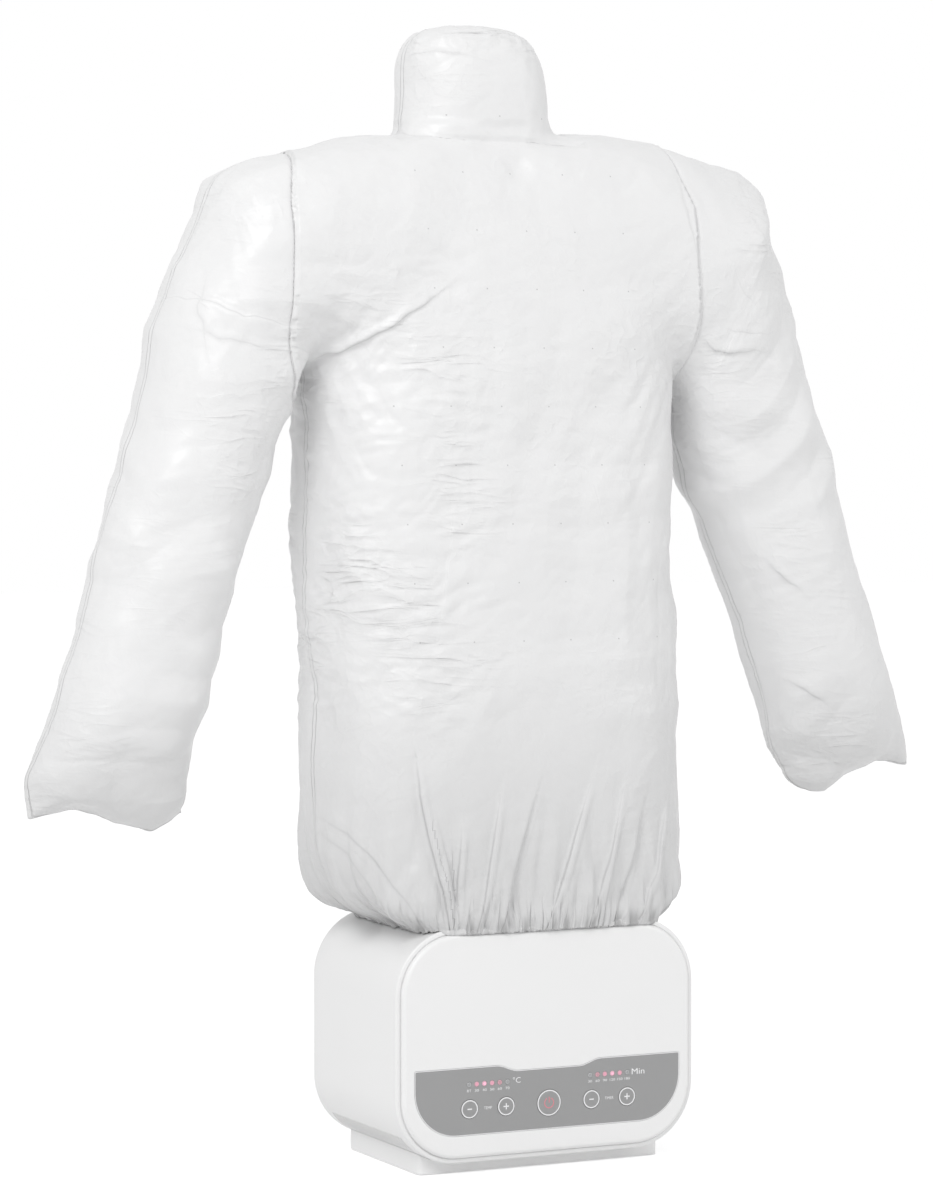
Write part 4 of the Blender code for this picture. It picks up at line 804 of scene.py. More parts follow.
def make_louvre_shade_strips():
    """A dark strip behind each row of louvres, bent to the housing's inner corner: painted shade, standing in
    for the shade inside the housing.
    """
    turn = np.radians(np.linspace(33, 57, 9))
    count = len(turn)
    index = np.arange(4 * count).reshape(4, count)
    after = np.roll(index, -1, axis=0)
    faces = np.stack([index[:, :-1], index[:, 1:], after[:, 1:], after[:, :-1]], -1).reshape(-1, 4).tolist()
    faces += [index[:, 0].tolist(), index[:, -1].tolist()]
    for side, name in ((-1, "left"), (1, "right")):
        rows = []
        for radius, depth in ((0.0612, -0.086), (0.0618, -0.086), (0.0618, 0.086), (0.0612, 0.086)):
            x = side * (CORNER_X + radius * np.sin(turn))
            rows.append(np.stack([x, np.full(count, depth), CORNER_Z - radius * np.cos(turn)], -1))
        shade_strip = mesh_of(rows, faces)
        make_piece(f"louvre_shade_strip_{name}", shade_strip, "dark", "base", "dark_plastic", angle=32)


# The air bag.

BAG_MIDDLE = 0.010  # the depth of the seams between the front and the back
FILM_WALL = 0.0005
HEM_HALF = (0.1290, 0.1048)  # the hem ring's half width and half depth
HEM_MIDDLE = 0.0040  # the hem ring's middle in X
HEM_STEPS = 1100  # round the hem ring
VOXEL = 0.0080  # the mesh of the bag's forms
FRAMES = 12  # of the cloth simulation
MOST_MOVE = 0.007  # how far blowing up may move a point
ARMPIT = 0.70  # the armholes' seams lie above this height

TORSO = (  # height, middle in X, half width, middle in Y, half depth, squareness
    (0.2240, 0.0040, 0.1290, 0.000, 0.1048, 9.0),
    (0.2400, 0.0040, 0.1292, 0.000, 0.1050, 9.0),
    (0.2450, 0.0020, 0.1380, 0.000, 0.1068, 7.4),
    (0.2520, -0.0030, 0.1540, 0.001, 0.1100, 5.8),
    (0.2620, -0.0055, 0.1690, 0.003, 0.1130, 4.8),
    (0.2780, -0.0070, 0.1820, 0.005, 0.1150, 4.0),
    (0.3050, -0.0098, 0.1913, 0.008, 0.1170, 3.4),
    (0.3500, -0.0093, 0.1933, 0.010, 0.1180, 3.2),
    (0.4000, -0.0108, 0.1935, 0.010, 0.1190, 3.1),
    (0.4500, -0.0095, 0.1925, 0.010, 0.1190, 3.1),
    (0.4800, -0.0105, 0.1915, 0.010, 0.1190, 3.1),
    (0.5200, -0.0130, 0.1930, 0.010, 0.1185, 3.1),
    (0.6000, -0.0170, 0.1945, 0.010, 0.1180, 3.1),
    (0.7400, -0.0185, 0.1935, 0.010, 0.1150, 3.0),
    (0.8500, -0.0185, 0.1915, 0.010, 0.1100, 2.8),
    (0.9300, -0.0165, 0.1815, 0.010, 0.0990, 2.6),
    (0.9750, -0.0150, 0.1500, 0.010, 0.0790, 2.4),
    (1.0000, -0.0160, 0.0900, 0.010, 0.0490, 2.3),
    (1.0080, -0.0160, 0.0200, 0.010, 0.0100, 2.2),
)
LEFT_SLEEVE = (  # inner X and height, outer X and height, half depth
    (-0.030, 0.790, -0.036, 1.0280, 0.094),
    (-0.100, 0.790, -0.118, 1.0250, 0.098),
    (-0.165, 0.795, -0.190, 1.0150, 0.100),
    (-0.206, 0.806, -0.248, 1.0005, 0.098),
    (-0.225, 0.800, -0.296, 0.9850, 0.095),
    (-0.232, 0.785, -0.315, 0.9640, 0.092),
    (-0.2375, 0.768, -0.334, 0.918, 0.088),
    (-0.247, 0.735, -0.364, 0.856, 0.082),
    (-0.261, 0.690, -0.384, 0.770, 0.076),
    (-0.287, 0.604, -0.418, 0.655, 0.070),
    (-0.306, 0.545, -0.438, 0.585, 0.067),
    (-0.332, 0.440, -0.472, 0.465, 0.064),
    (-0.340, 0.400, -0.489, 0.428, 0.052),
    (-0.343, 0.364, -0.507, 0.390, 0.030),
    (-0.345, 0.342, -0.504, 0.358, 0.003),
)
RIGHT_SLEEVE = (
    (0.000, 0.790, 0.000, 1.0310, 0.094),
    (0.060, 0.790, 0.080, 1.0315, 0.098),
    (0.130, 0.795, 0.150, 1.0255, 0.100),
    (0.175, 0.790, 0.216, 1.0125, 0.098),
    (0.192, 0.770, 0.279, 0.9915, 0.094),
    (0.197, 0.752, 0.286, 0.9680, 0.091),
    (0.200, 0.735, 0.308, 0.912, 0.087),
    (0.205, 0.715, 0.3195, 0.867, 0.082),
    (0.214, 0.685, 0.346, 0.790, 0.077),
    (0.251, 0.604, 0.385, 0.672, 0.070),
    (0.279, 0.540, 0.412, 0.590, 0.067),
    (0.311, 0.445, 0.450, 0.480, 0.064),
    (0.315, 0.410, 0.468, 0.435, 0.052),
    (0.326, 0.380, 0.484, 0.399, 0.030),
    (0.338, 0.352, 0.487, 0.375, 0.003),
)
NECK = (  # as the torso
    (1.0000, -0.0300, 0.0810, 0.010, 0.064, 2.3),
    (1.0220, -0.0310, 0.0790, 0.010, 0.062, 2.4),
    (1.0600, -0.0310, 0.0765, 0.010, 0.062, 2.5),
    (1.1000, -0.0350, 0.0720, 0.010, 0.060, 2.6),
    (1.1200, -0.0365, 0.0610, 0.010, 0.052, 2.6),
    (1.1320, -0.0370, 0.0420, 0.010, 0.036, 2.5),
    (1.1345, -0.0370, 0.0120, 0.010, 0.010, 2.3),
)
CUFF = ((0.0, 0.09, 0.21, 0.55, 0.72, 1.0), (0.016, 0.002, -0.0077, 0.004, 0.0075, 0.001))  # across, rise
SHOULDER_ROWS = 8  # the sleeves' first rows, which also shape the shoulders of the body's skin


def smooth_rows(table, count):
    """More rows between a table's rows, on the Catmull-Rom curve through them."""
    rows = np.array(table, float)
    place = np.linspace(0, len(rows) - 1, count)
    index = np.clip(place.astype(int), 0, len(rows) - 2)
    share = (place - index)[:, None]
    padded = np.vstack([rows[:1], rows, rows[-1:]])
    before, here, after, beyond = (padded[index + step] for step in range(4))
    return 0.5 * (2 * here + (after - before) * share
                  + (2 * before - 5 * here + 4 * after - beyond) * share ** 2
                  + (3 * here - before - 3 * after + beyond) * share ** 3)


def tube(points, cuff=False):
    """A tube of rows of points: a face at both ends, or open at its start and sewn flat at its end."""
    rows, around = points.shape[:2]
    faces = band_faces(rows, around)
    if cuff:
        front = np.arange(around // 2 - 1)
        last = (rows - 1) * around
        faces += (last + np.stack([front, front + 1, around - 2 - front, around - 1 - front], -1)).tolist()
    else:
        faces += end_faces(rows, around)
    return mesh_of(points, faces)


def powered(value, power):
    """A power of a number that keeps its sign."""
    return np.sign(value) * np.abs(value) ** power


def super_ellipses(centre, side, front, square, around):
    """One super-ellipse in each row: centre + side cos^(2/n) + front sin^(2/n)."""
    angle = (np.arange(around) + 0.5) * math.tau / around
    c, s = np.cos(angle), np.sin(angle)
    power = (2 / square)[:, None]
    along, across = powered(c, power), powered(s, power)
    return centre[:, None] + side[:, None] * along[..., None] + front[:, None] * across[..., None], along


def upright_tube(table, count, around):
    """A tube whose rows lie level."""
    z, x, half, y, depth, square = smooth_rows(table, count).T
    none = np.zeros_like(z)
    centre = np.stack([x, y, z], -1)
    side = np.stack([half, none, none], -1)
    return tube(super_ellipses(centre, side, np.stack([none, depth, none], -1), square, around)[0])


def sleeve_tube(table, count, around, cuff=False):
    """A tube whose rows run from the inner to the outer edge; a cuff's end seam rises and sinks across it."""
    inner_x, inner_z, outer_x, outer_z, depth = smooth_rows(table, count).T
    none = np.zeros_like(inner_x)
    centre = np.stack([(inner_x + outer_x) / 2, none + BAG_MIDDLE, (inner_z + outer_z) / 2], -1)
    side = np.stack([(outer_x - inner_x) / 2, none, (outer_z - inner_z) / 2], -1)
    front = np.stack([none, depth, none], -1)
    points, along = super_ellipses(centre, side, front, none + 2.3, around)
    if cuff:
        near_end = step_between(0.86, 1.0, np.linspace(0, 1, count))
        points[..., 2] += near_end[:, None] * np.interp((along + 1) / 2, *CUFF)
    return tube(points, cuff)


def bag_form(voxel):
    """The body's skin, one voxel remesh of torso, shoulders and neck, and the two sleeve tubes that meet it."""
    body = in_scene("body_form", joined([
        upright_tube(TORSO, 90, 96),
        sleeve_tube(LEFT_SLEEVE[:SHOULDER_ROWS], 40, 64),
        sleeve_tube(RIGHT_SLEEVE[:SHOULDER_ROWS], 40, 64),
        upright_tube(NECK, 30, 64),
    ]))
    with_settings(body.modifiers.new("one_skin", "REMESH"), mode="VOXEL", voxel_size=voxel)
    with_settings(body.modifiers.new("relax", "SMOOTH"), factor=0.5, iterations=6)
    applied(body)
    length, girth = round(0.86 / voxel), 4 * round(0.10 / voxel)
    forms = [
        body.data.copy(),
        sleeve_tube(LEFT_SLEEVE, length, girth, True),
        sleeve_tube(RIGHT_SLEEVE, length, girth, True),
    ]
    numbers = np.repeat(np.arange(len(forms)), [len(data.vertices) for data in forms])
    whole = joined(forms)
    set_attribute(whole, "part", numbers)
    bpy.data.objects.remove(body, do_unlink=True)
    return in_scene("bag_form", whole)


def step_between(low, high, value):
    """A smooth step from 0 at low to 1 at high."""
    share = np.clip((value - low) / (high - low), 0, 1)
    return share * share * (3 - 2 * share)


def waves(points, lengths, count, seed, stretch=(1, 1, 1)):
    """A smooth uneven field of about unit size: sine waves in seeded directions, their lengths in metres."""
    rng = np.random.default_rng(seed)
    way = rng.normal(size=(count, 3))
    way /= np.linalg.norm(way, axis=1, keepdims=True)
    way = way / np.array(stretch)
    size = np.exp(rng.uniform(math.log(lengths[0]), math.log(lengths[1]), count))
    phase = rng.uniform(0, math.tau, count)
    total = np.zeros(len(points))
    for one, length, start in zip(way, size, phase):
        total += np.sin(points @ one * (math.tau / length) + start)
    return total / math.sqrt(count / 2)


def looseness(points):
    """How much too large the film is cut at each point: most where the photograph shows small creases."""
    x, y, z = points.T
    sleeve = step_between(0.195, 0.225, np.abs(x + 0.012))
    left = 1 - step_between(-0.11, -0.03, x)
    side = step_between(-0.06, 0.02, y)
    middle = step_between(0.41, 0.50, z) * (1 - step_between(0.82, 0.90, z))
    torso = 0.10 + 0.85 * np.maximum(left, side) * middle
    patch = np.clip(0.5 + 0.7 * waves(points, (0.08, 0.20), 8, 11), 0.05, 1)
    share = torso * (1 - sleeve) + 0.50 * sleeve
    neck = 0.15 + 0.75 * step_between(1.085, 1.115, z)
    return np.where(z > 1.03, neck, np.clip(share * patch, 0, 1))


def slow_part(data, values, rounds):
    """The slow part of a field on the skin: each value is averaged with its neighbours', many times over."""
    ends = np.zeros(len(data.edges) * 2, np.int32)
    data.edges.foreach_get("vertices", ends)
    one, other = ends.reshape(-1, 2).T
    count = len(values)
    times = np.bincount(one, minlength=count) + np.bincount(other, minlength=count)
    for _ in range(rounds):
        around = [np.bincount(one, v[other], count) + np.bincount(other, v[one], count) for v in values.T]
        values = 0.4 * values + 0.6 * np.stack(around, -1) / times[:, None]
    return values


def vertex_group(bag, name, shares):
    """A vertex group with a share for each point."""
    group = bag.vertex_groups.new(name=name)
    for value in np.unique(shares):
        group.add(np.nonzero(shares == value)[0].tolist(), float(value), "REPLACE")


def blow_up(bag):
    """Lets the film, cut up to 4% larger than its form, buckle under a little pressure.

    Only the buckles are kept: the slow part of the movement is taken off, and no point moves over 7 mm.
    The skin is held at the hem and along the armholes, where two forms meet.
    """
    data = bag.data
    rest = points_of(data)
    part = attribute_of(data, "part")
    rng = np.random.default_rng(3)
    move_to(data, rest + rng.normal(0, 0.0002, rest.shape))
    far = np.minimum(np.abs(armhole_distance(rest, -1)), np.abs(armhole_distance(rest, 1)))
    inside = (part > 0) & (armhole_distance(rest, -1) < 0) & (armhole_distance(rest, 1) < 0)
    held = (rest[:, 2] < 0.256) | ((far < 0.012) & (rest[:, 2] > 0.76)) | inside
    vertex_group(bag, "hold", np.where(held, 1.0, 0.06))
    vertex_group(bag, "loose", np.round(looseness(rest), 1))
    cloth = bag.modifiers.new("film", "CLOTH")
    with_settings(cloth.settings, quality=3, mass=0.1, air_damping=1,
                  tension_stiffness=25, compression_stiffness=25, shear_stiffness=12, bending_stiffness=0.004,
                  use_pressure=True, uniform_pressure_force=3.0, vertex_group_mass="hold", pin_stiffness=1.0,
                  vertex_group_shrink="loose", shrink_min=0.0, shrink_max=-0.042)
    cloth.settings.effector_weights.gravity = 0
    with_settings(cloth.collision_settings, use_collision=False, use_self_collision=False)
    with_settings(cloth.point_cache, frame_start=1, frame_end=FRAMES)
    scene = bpy.context.scene
    for step in range(1, FRAMES + 1):
        scene.frame_set(step)
    applied(bag)
    scene.frame_set(1)
    move = points_of(bag.data) - rest
    move -= slow_part(bag.data, move, 40)
    move[held] = 0
    far = np.linalg.norm(move, axis=1, keepdims=True) + 1e-9
    move_to(bag.data, rest + move * (MOST_MOVE * np.tanh(far / MOST_MOVE) / far))
    bag.vertex_groups.clear()


CREASES = (  # places on the front in X and height, how wide the fold lies, how far its lip stands out
    (((-0.229, 0.796), (-0.206, 0.806), (-0.181, 0.818), (-0.149, 0.842), (-0.116, 0.864)), 0.016, 0.0050),
    (((-0.372, 0.862), (-0.341, 0.8545), (-0.311, 0.840), (-0.258, 0.830)), 0.018, -0.0030),
    (((-0.352, 0.826), (-0.307, 0.812), (-0.266, 0.806)), 0.014, 0.0016),
    (((-0.340, 0.880), (-0.350, 0.850), (-0.345, 0.810)), 0.014, 0.0016),
    (((0.161, 0.985), (0.167, 0.937), (0.174, 0.892)), 0.016, -0.0020),
    (((0.192, 0.822), (0.209, 0.812), (0.226, 0.8105), (0.262, 0.811)), 0.012, 0.0030),
    (((0.215, 0.834), (0.235, 0.830), (0.262, 0.829)), 0.010, -0.0022),
    (((0.215, 0.900), (0.228, 0.872), (0.250, 0.850)), 0.014, 0.0014),
    (((0.285, 0.592), (0.316, 0.566)), 0.014, 0.0025),
    (((0.320, 0.470), (0.350, 0.450)), 0.014, 0.0025),
    (((-0.103, 0.668), (-0.112, 0.590), (-0.121, 0.512)), 0.020, 0.0010),
    (((0.0445, 0.690), (0.0545, 0.652), (0.066, 0.616)), 0.020, 0.0010),
    (((-0.1415, 0.409), (-0.138, 0.372), (-0.129, 0.3225), (-0.116, 0.273), (-0.107, 0.236)), 0.014, 0.0075),
    (((-0.121, 0.345), (-0.110, 0.300), (-0.097, 0.236)), 0.010, -0.0036),
    (((-0.098, 0.340), (-0.1025, 0.292), (-0.100, 0.236)), 0.010, 0.0055),
    (((-0.057, 0.368), (-0.068, 0.310), (-0.081, 0.236)), 0.014, 0.0055),
    (((-0.018, 0.370), (-0.035, 0.313), (-0.055, 0.236)), 0.014, -0.0050),
    (((0.042, 0.379), (0.021, 0.316), (-0.006, 0.236)), 0.016, 0.0055),
    (((0.079, 0.368), (0.065, 0.314), (0.042, 0.236)), 0.014, 0.0048),
    (((0.108, 0.357), (0.095, 0.312), (0.070, 0.236)), 0.014, -0.0045),
    (((0.140, 0.350), (0.125, 0.300), (0.098, 0.236)), 0.012, 0.0040),
    (((-0.210, 0.3575), (-0.173, 0.303), (-0.128, 0.236)), 0.020, 0.0022),
    (((-0.222, 0.385), (-0.200, 0.324), (-0.172, 0.262), (-0.150, 0.236)), 0.020, 0.0016),
)


def creases(points, normals):
    """The photograph's creases: each is a step, with a lip that dies away on one side and a foot on the other.

    Gives each point's height, its signed distance from the nearest crease, and that crease's size, 0 to 1.
    """
    flat, z = points[:, ::2], points[:, 2]
    bend = np.stack([waves(points, (0.018, 0.045), 7, 41), waves(points, (0.018, 0.045), 7, 42)], -1)
    flat = flat + 0.0010 * bend * step_between(0.38, 0.48, z)[:, None]
    facing = step_between(-0.1, 0.2, -normals[:, 1])
    total = np.zeros(len(points))
    nearest = np.full(len(points), 0.05)
    size = np.zeros(len(points))
    for line, wide, lip in CREASES:
        line = np.array(line)
        best = np.full(len(points), 1e9)
        signed = np.zeros(len(points))
        along = np.zeros(len(points))
        runs = len(line) - 1
        for index in range(runs):
            start, run = line[index], line[index + 1] - line[index]
            share = np.clip((flat - start) @ run / (run @ run), 0, 1)
            off = flat - start - share[:, None] * run
            far = np.hypot(off[:, 0], off[:, 1])
            side = np.sign(run[0] * off[:, 1] - run[1] * off[:, 0])
            nearer = far < best
            best = np.where(nearer, far, best)
            signed = np.where(nearer, far * side, signed)
            along = np.where(nearer, (index + share) / runs, along)
        fade = np.sin(math.pi * np.clip(0.04 + 0.92 * along, 0, 1)) ** 0.6
        open_end = (line[-1][1] < 0.26) & (along > 0.5)
        fade = np.where(open_end, 1.0, fade)
        edge = 1 / (1 + np.exp(np.clip(-signed / 0.0008, -60, 60)))
        lip_side = edge * np.exp(-np.clip(signed, 0, None) / wide)
        low_side = (1 - edge) * np.exp(-np.clip(-signed, 0, None) / (0.45 * wide))
        at_hem = 0.12 + 0.88 * step_between(0.240, 0.275, z)
        total += lip * fade * at_hem * (lip_side - 0.35 * low_side)
        closer = best < np.abs(nearest)
        nearest = np.where(closer, signed, nearest)
        size = np.where(closer, np.clip(abs(lip) / 0.006, 0.1, 1) * fade ** 1.5 * facing, size)
    return total * facing, nearest, size * (1 - step_between(0.005, 0.009, np.abs(nearest)))


def folds(points, lengths, count, seed, stretch=(1, 1, 1), patch=(0.05, 0.14), wander=0.45):
    """Pressed folds: triangle waves in seeded directions, bent by a slow field, each fading in patches."""
    rng = np.random.default_rng(seed)
    total = np.zeros(len(points))
    for number in range(count):
        way = rng.normal(size=3)
        way = way / np.linalg.norm(way) / np.array(stretch)
        length = math.exp(rng.uniform(math.log(lengths[0]), math.log(lengths[1])))
        bend = wander * waves(points, (4 * length, 9 * length), 5, seed * 100 + number)
        share = points @ way / length + rng.uniform(0, 1) + bend
        sharp = np.abs(2 * (share % 1) - 1) - 0.5
        fade = np.clip(waves(points, patch, 7, seed * 100 + 50 + number), 0, 1.2)
        total += sharp * fade * length
    return total


def hem_place(points):
    """A place on a drum round the bag, the same all the way up a fold that runs down to the hem."""
    x, y, z = points.T
    turn = np.arctan2((y - 0.003) / 0.108, (x - 0.0035) / 0.155)
    return np.stack([0.140 * np.cos(turn), 0.140 * np.sin(turn), z], -1)


def gathered(points):
    """Straight folds that fan out of the gathered hem, long ones and short ones."""
    z = points[:, 2]
    drum = hem_place(points)
    broad = folds(drum * (1, 1, 0.10), (0.016, 0.042), 10, 21, (1, 1, 1), (0.03, 0.08), 0.08)
    middle = folds(drum * (1, 1, 0.12), (0.010, 0.020), 8, 23, (1, 1, 1), (0.02, 0.06), 0.08)
    fine = folds(drum * (1, 1, 0.15), (0.0060, 0.0100), 8, 22, (1, 1, 1), (0.02, 0.05), 0.10)
    low = 1 - step_between(0.255, 0.415, z)
    lower = 1 - step_between(0.250, 0.335, z)
    lowest = 1 - step_between(0.243, 0.275, z)
    at_hem = step_between(0.240, 0.272, z)
    height = (0.20 * broad * low ** 1.3 + 0.20 * middle * lower) * (0.10 + 0.90 * at_hem)
    return height + 0.26 * fine * lowest


def pressed(points):
    """Small creases of thin film: level ones on the torso's left and sides, others on the sleeves and neck."""
    x, y, z = points.T
    sleeve = step_between(0.195, 0.225, np.abs(x + 0.012))
    left = np.maximum(1 - step_between(-0.10, -0.03, x), 0.8 * step_between(-0.05, 0.03, y))
    level = folds(points, (0.010, 0.026), 12, 31, (5.0, 5.0, 0.9), (0.04, 0.10))
    small = folds(points, (0.010, 0.030), 12, 32, (1.6, 1.6, 0.9), (0.04, 0.10))
    broad = folds(points, (0.05, 0.11), 8, 34, (1.2, 1.2, 1.0), (0.15, 0.30))
    upright = folds(points, (0.06, 0.13), 7, 35, (1.0, 1.0, 4.0), (0.20, 0.40))
    middle = step_between(0.40, 0.48, z) * (1 - step_between(0.86, 0.95, z))
    neck = step_between(1.03, 1.04, z)
    top = step_between(1.085, 1.115, z)
    torso = 0.060 * level * (0.24 + 0.76 * left) * middle + 0.012 * small
    torso += 0.034 * upright * step_between(0.34, 0.45, z)
    arm = 0.020 * small + 0.038 * broad
    body = torso * (1 - sleeve) + arm * sleeve
    return body * (1 - neck) + (0.012 + 0.04 * top) * small * neck + 0.018 * broad


def armhole_distance(points, side):
    """Distance in X from an armhole seam, positive towards the sleeve.

    The seam bows outwards at the front and back, and the right one leans inwards towards the shoulder.
    """
    x, y, z = points.T
    bow = np.minimum(np.abs(BAG_MIDDLE - y) / 0.085, 1) ** 1.5
    if side < 0:
        return -0.234 - 0.026 * bow - x
    return x - 0.179 + 0.008 * step_between(0.83, 0.91, z) + 0.008 * step_between(0.95, 0.99, z) - 0.004 * bow


def neck_distance(points):
    """Height above the seam at the neck's foot, which lies lower at the front and back than at the sides."""
    return points[:, 2] - 1.029 + 0.012 * step_between(0, 0.055, np.abs(points[:, 1] - BAG_MIDDLE))


def seam_distance(points):
    """Distance from the nearest sewn line, a little more at the faint ones: the right armhole and the neck."""
    x, z = points[:, 0], points[:, 2]
    neck = np.where(np.abs(x + 0.034) < 0.083, np.abs(neck_distance(points)) + 0.0005, 1.0)
    left = np.where(z > ARMPIT, np.abs(armhole_distance(points, -1) - 0.0036), 1.0)
    right = np.where(z > ARMPIT, np.abs(armhole_distance(points, 1) - 0.0036) + 0.0009, 1.0)
    return np.clip(np.minimum(neck, np.minimum(left, right)), 0, 0.05)


def seam_height(points):
    """Seams: the film dips to each armhole and to the foot of the neck."""
    x, z = points[:, 0], points[:, 2]
    total = np.zeros(len(points))
    for side in (-1, 1):
        far = armhole_distance(points, side)
        above = step_between(0.80, 0.83, z)
        body = (far < 0) * np.exp(-np.abs(far) / 0.016)
        sleeve = (far >= 0) * np.exp(-np.abs(far) / 0.010)
        total += (0.0018 * body - 0.0016 * sleeve) * above
    near = neck_distance(points)
    round_neck = np.abs(x + 0.030) < 0.10
    total -= 0.0022 * np.exp(-(near / 0.0028) ** 2) * round_neck
    return total


def set_attribute(data, name, values):
    """A number or a place for each point, for the finish to read."""
    made = data.attributes.new(name, "FLOAT_VECTOR" if values.ndim == 2 else "FLOAT", "POINT")
    made.data.foreach_set("vector" if values.ndim == 2 else "value", values.astype(np.float32).ravel())


def attribute_of(data, name):
    """The numbers or places of an attribute."""
    made = data.attributes[name]
    wide = 3 if made.data_type == "FLOAT_VECTOR" else 1
    flat = np.zeros(len(data.vertices) * wide, np.float32)
    made.data.foreach_get("vector" if wide == 3 else "value", flat)
    return flat.reshape(-1, 3) if wide == 3 else flat


def make_bag():
    """The whole blown-up skin: forms, blowing up, subdivision, then creases, folds and seams."""
    bag = bag_form(VOXEL)
    if BLOW_UP_BAG:
        blow_up(bag)
    levels = 2 if BLOW_UP_BAG else 1
    with_settings(bag.modifiers.new("finer", "SUBSURF"), levels=levels, render_levels=levels)
    applied(bag)
    data = bag.data
    points = points_of(data)
    normals = normals_of(data)
    height, nearest, size = creases(points, normals)
    height = height + gathered(points) + pressed(points) + seam_height(points)
    form = np.round(attribute_of(data, "part"))
    for number, side in ((1, -1), (2, 1)):
        far = armhole_distance(points, side)
        under = step_between(0.0020, 0.0060, far) * (points[:, 2] > ARMPIT) * (form == 0)
        tucked = (1 - step_between(0.0, 0.0070, far)) * (form == number)
        height -= 0.0035 * under + 0.0030 * tucked
    move_to(data, points + normals * height[:, None])
    notes = {
        "crease": nearest,
        "crease_size": size,
        "seam": seam_distance(points),
        "drum": hem_place(points),
        "loose": looseness(points),
    }
    for name, values in notes.items():
        set_attribute(data, name, values)
    return bag


def fine_line(value, half_width):
    """1 where a distance is zero, 0 from a half width on."""
    return ranged(abs(value), 0.0, half_width, 1.0, 0.0)


def pinholes(x, z):
    """The rows of pinholes on the front and back, 53.5 mm by 57.5 mm apart, leaning to the left upwards."""
    off = []
    for value, start, pitch in ((x + z * 0.10, 0.0747, 0.0535), (z, 0.5815, 0.0575)):
        folded = sum_node(x.tree, "WRAP", value - start, pitch / 2, -pitch / 2)
        off.append(folded * folded)
    far = sum_node(x.tree, "SQRT", off[0] + off[1])
    below = sum_node(x.tree, "MAXIMUM", z < 0.985, abs(z - 1.045) < 0.015)
    return ranged(far, 0.0005, 0.0010, 1.0, 0.0) * ((z > 0.50) * below * (abs(x + 0.015) < 0.150))


def film_finish(name, pierced):
    """Thin white film: painted shade that makes it greyer low down, a soft shine, crinkles, sewn lines, crease
    lines darkened by painted shade, and hem puckers with painted shade in their gaps.
    """
    made = new_finish(name, (0.82, 0.82, 0.825), 0.42, Specular_IOR_Level=0.45)
    tree = made.node_tree
    place = node_of(tree, "SeparateXYZ", {0: surface_point(tree)})
    x, y, z = (Value(place, axis) for axis in range(3))
    seam, crease, size, loose = (Value(node_of(tree, "Attribute", attribute_name=note), "Fac")
                                 for note in ("seam", "crease", "crease_size", "loose"))
    # Painted shade: the film is given a greyer colour low down and a lighter one at the top, for the light that
    # falls from above.
    height = z + noise(tree, 9.0, 2.0) * 0.05
    stops = ((0.0, 0.668), (0.30, 0.742), (0.62, 0.812), (1.0, 0.822))
    stops = [(where, (shade, shade, shade * 1.003)) for where, shade in stops]
    painted_height_shade = ramp_of(ranged(height, 0.25, 0.72, 0.0, 1.0), *stops)
    seams = fine_line(seam, 0.0011)
    side_seam = fine_line(abs(y - BAG_MIDDLE) - 0.0032, 0.0008)
    drum = Value(node_of(tree, "Attribute", attribute_name="drum"), "Vector")
    stretched = Value(node_of(tree, "Mapping", {"Vector": drum, "Scale": (120.0, 120.0, 9.0)}))
    ridges = noise(tree, 1.0, 2.0, 0.5, kind="RIDGED_MULTIFRACTAL", point=stretched)
    # Painted shade in the gaps between the hem's puckers, in a band just above the hem.
    painted_pleat_shade = ranged(ridges, 0.50, 1.00, 1.0, 0.0) * ranged(z, 0.241, 0.256, 1.0, 0.0)
    # Seams, side seam and pinholes are the film's own marks; the darkening along the crease lines and in the
    # pleat gaps is painted shade.
    dark = seams * 0.20 + fine_line(crease, 0.0011) * size * 0.20 + side_seam * 0.15 + painted_pleat_shade * 0.36
    if pierced:
        dark = dark + pinholes(x, z) * 0.30
    marked_colour_with_painted_shade = node_of(tree, "VectorMath", {0: painted_height_shade, "Scale": 1.0 - dark}, operation="SCALE")
    feed(made, "Base Color", Value(marked_colour_with_painted_shade))
    vary(made, "Roughness", noise(tree, 60.0, 3.0), 0.36, 0.48)
    patches = ranged(noise(tree, 7.0, 2.0), 0.42, 0.64, 0.20, 1.0)
    lines = noise(tree, 48.0, 4.0, 0.5, (0.35, 0.35, 1.5), "RIDGED_MULTIFRACTAL", 0.8)
    small = noise(tree, 60.0, 3.0, 0.55, (1, 1, 1), "RIDGED_MULTIFRACTAL", 0.5)
    add_relief(made, lines * loose * patches, 0.85, 0.0015)
    add_relief(made, small * patches, 0.50, 0.0006)
    add_relief(made, ridges * ranged(z, 0.243, 0.290, 1.0, 0.0), 0.95, 0.0028)
    add_relief(made, 1.0 - (seams + side_seam * 0.80), 1.0, 0.0009)
    add_relief(made, ranged(crease, -0.0012, 0.0012, 0.0, 1.0) * size, 0.8, 0.0012)
    return made


def skin_parts(data):
    """Each face's piece: 0 front, 1 back, 2 left sleeve, 3 right sleeve, 4 neck, 5 hidden or cut off."""
    points = points_of(data)
    corners = np.zeros(len(data.loops), np.int32)
    data.loops.foreach_get("vertex_index", corners)
    quads = corners.reshape(-1, 4)
    middle = points[quads].mean(axis=1)
    form = np.round(attribute_of(data, "part")[quads].mean(axis=1))
    x, y, z = middle.T
    left = armhole_distance(middle, -1)
    right = armhole_distance(middle, 1)
    part = np.where(y < BAG_MIDDLE, 0, 1)
    part[neck_distance(middle) > 0] = 4
    part[((left > 0.009) | (right > 0.009)) & (z > ARMPIT)] = 5
    part[form == 1] = np.where((left > 0) & (x < -0.185), 2, 5)[form == 1]
    part[form == 2] = np.where((right > 0) & (x > 0.160), 3, 5)[form == 2]
    part[z < hem_low(x, y) + 0.0008] = 5
    return neat_edges(points, quads, part, attribute_of(data, "part")), quads, part


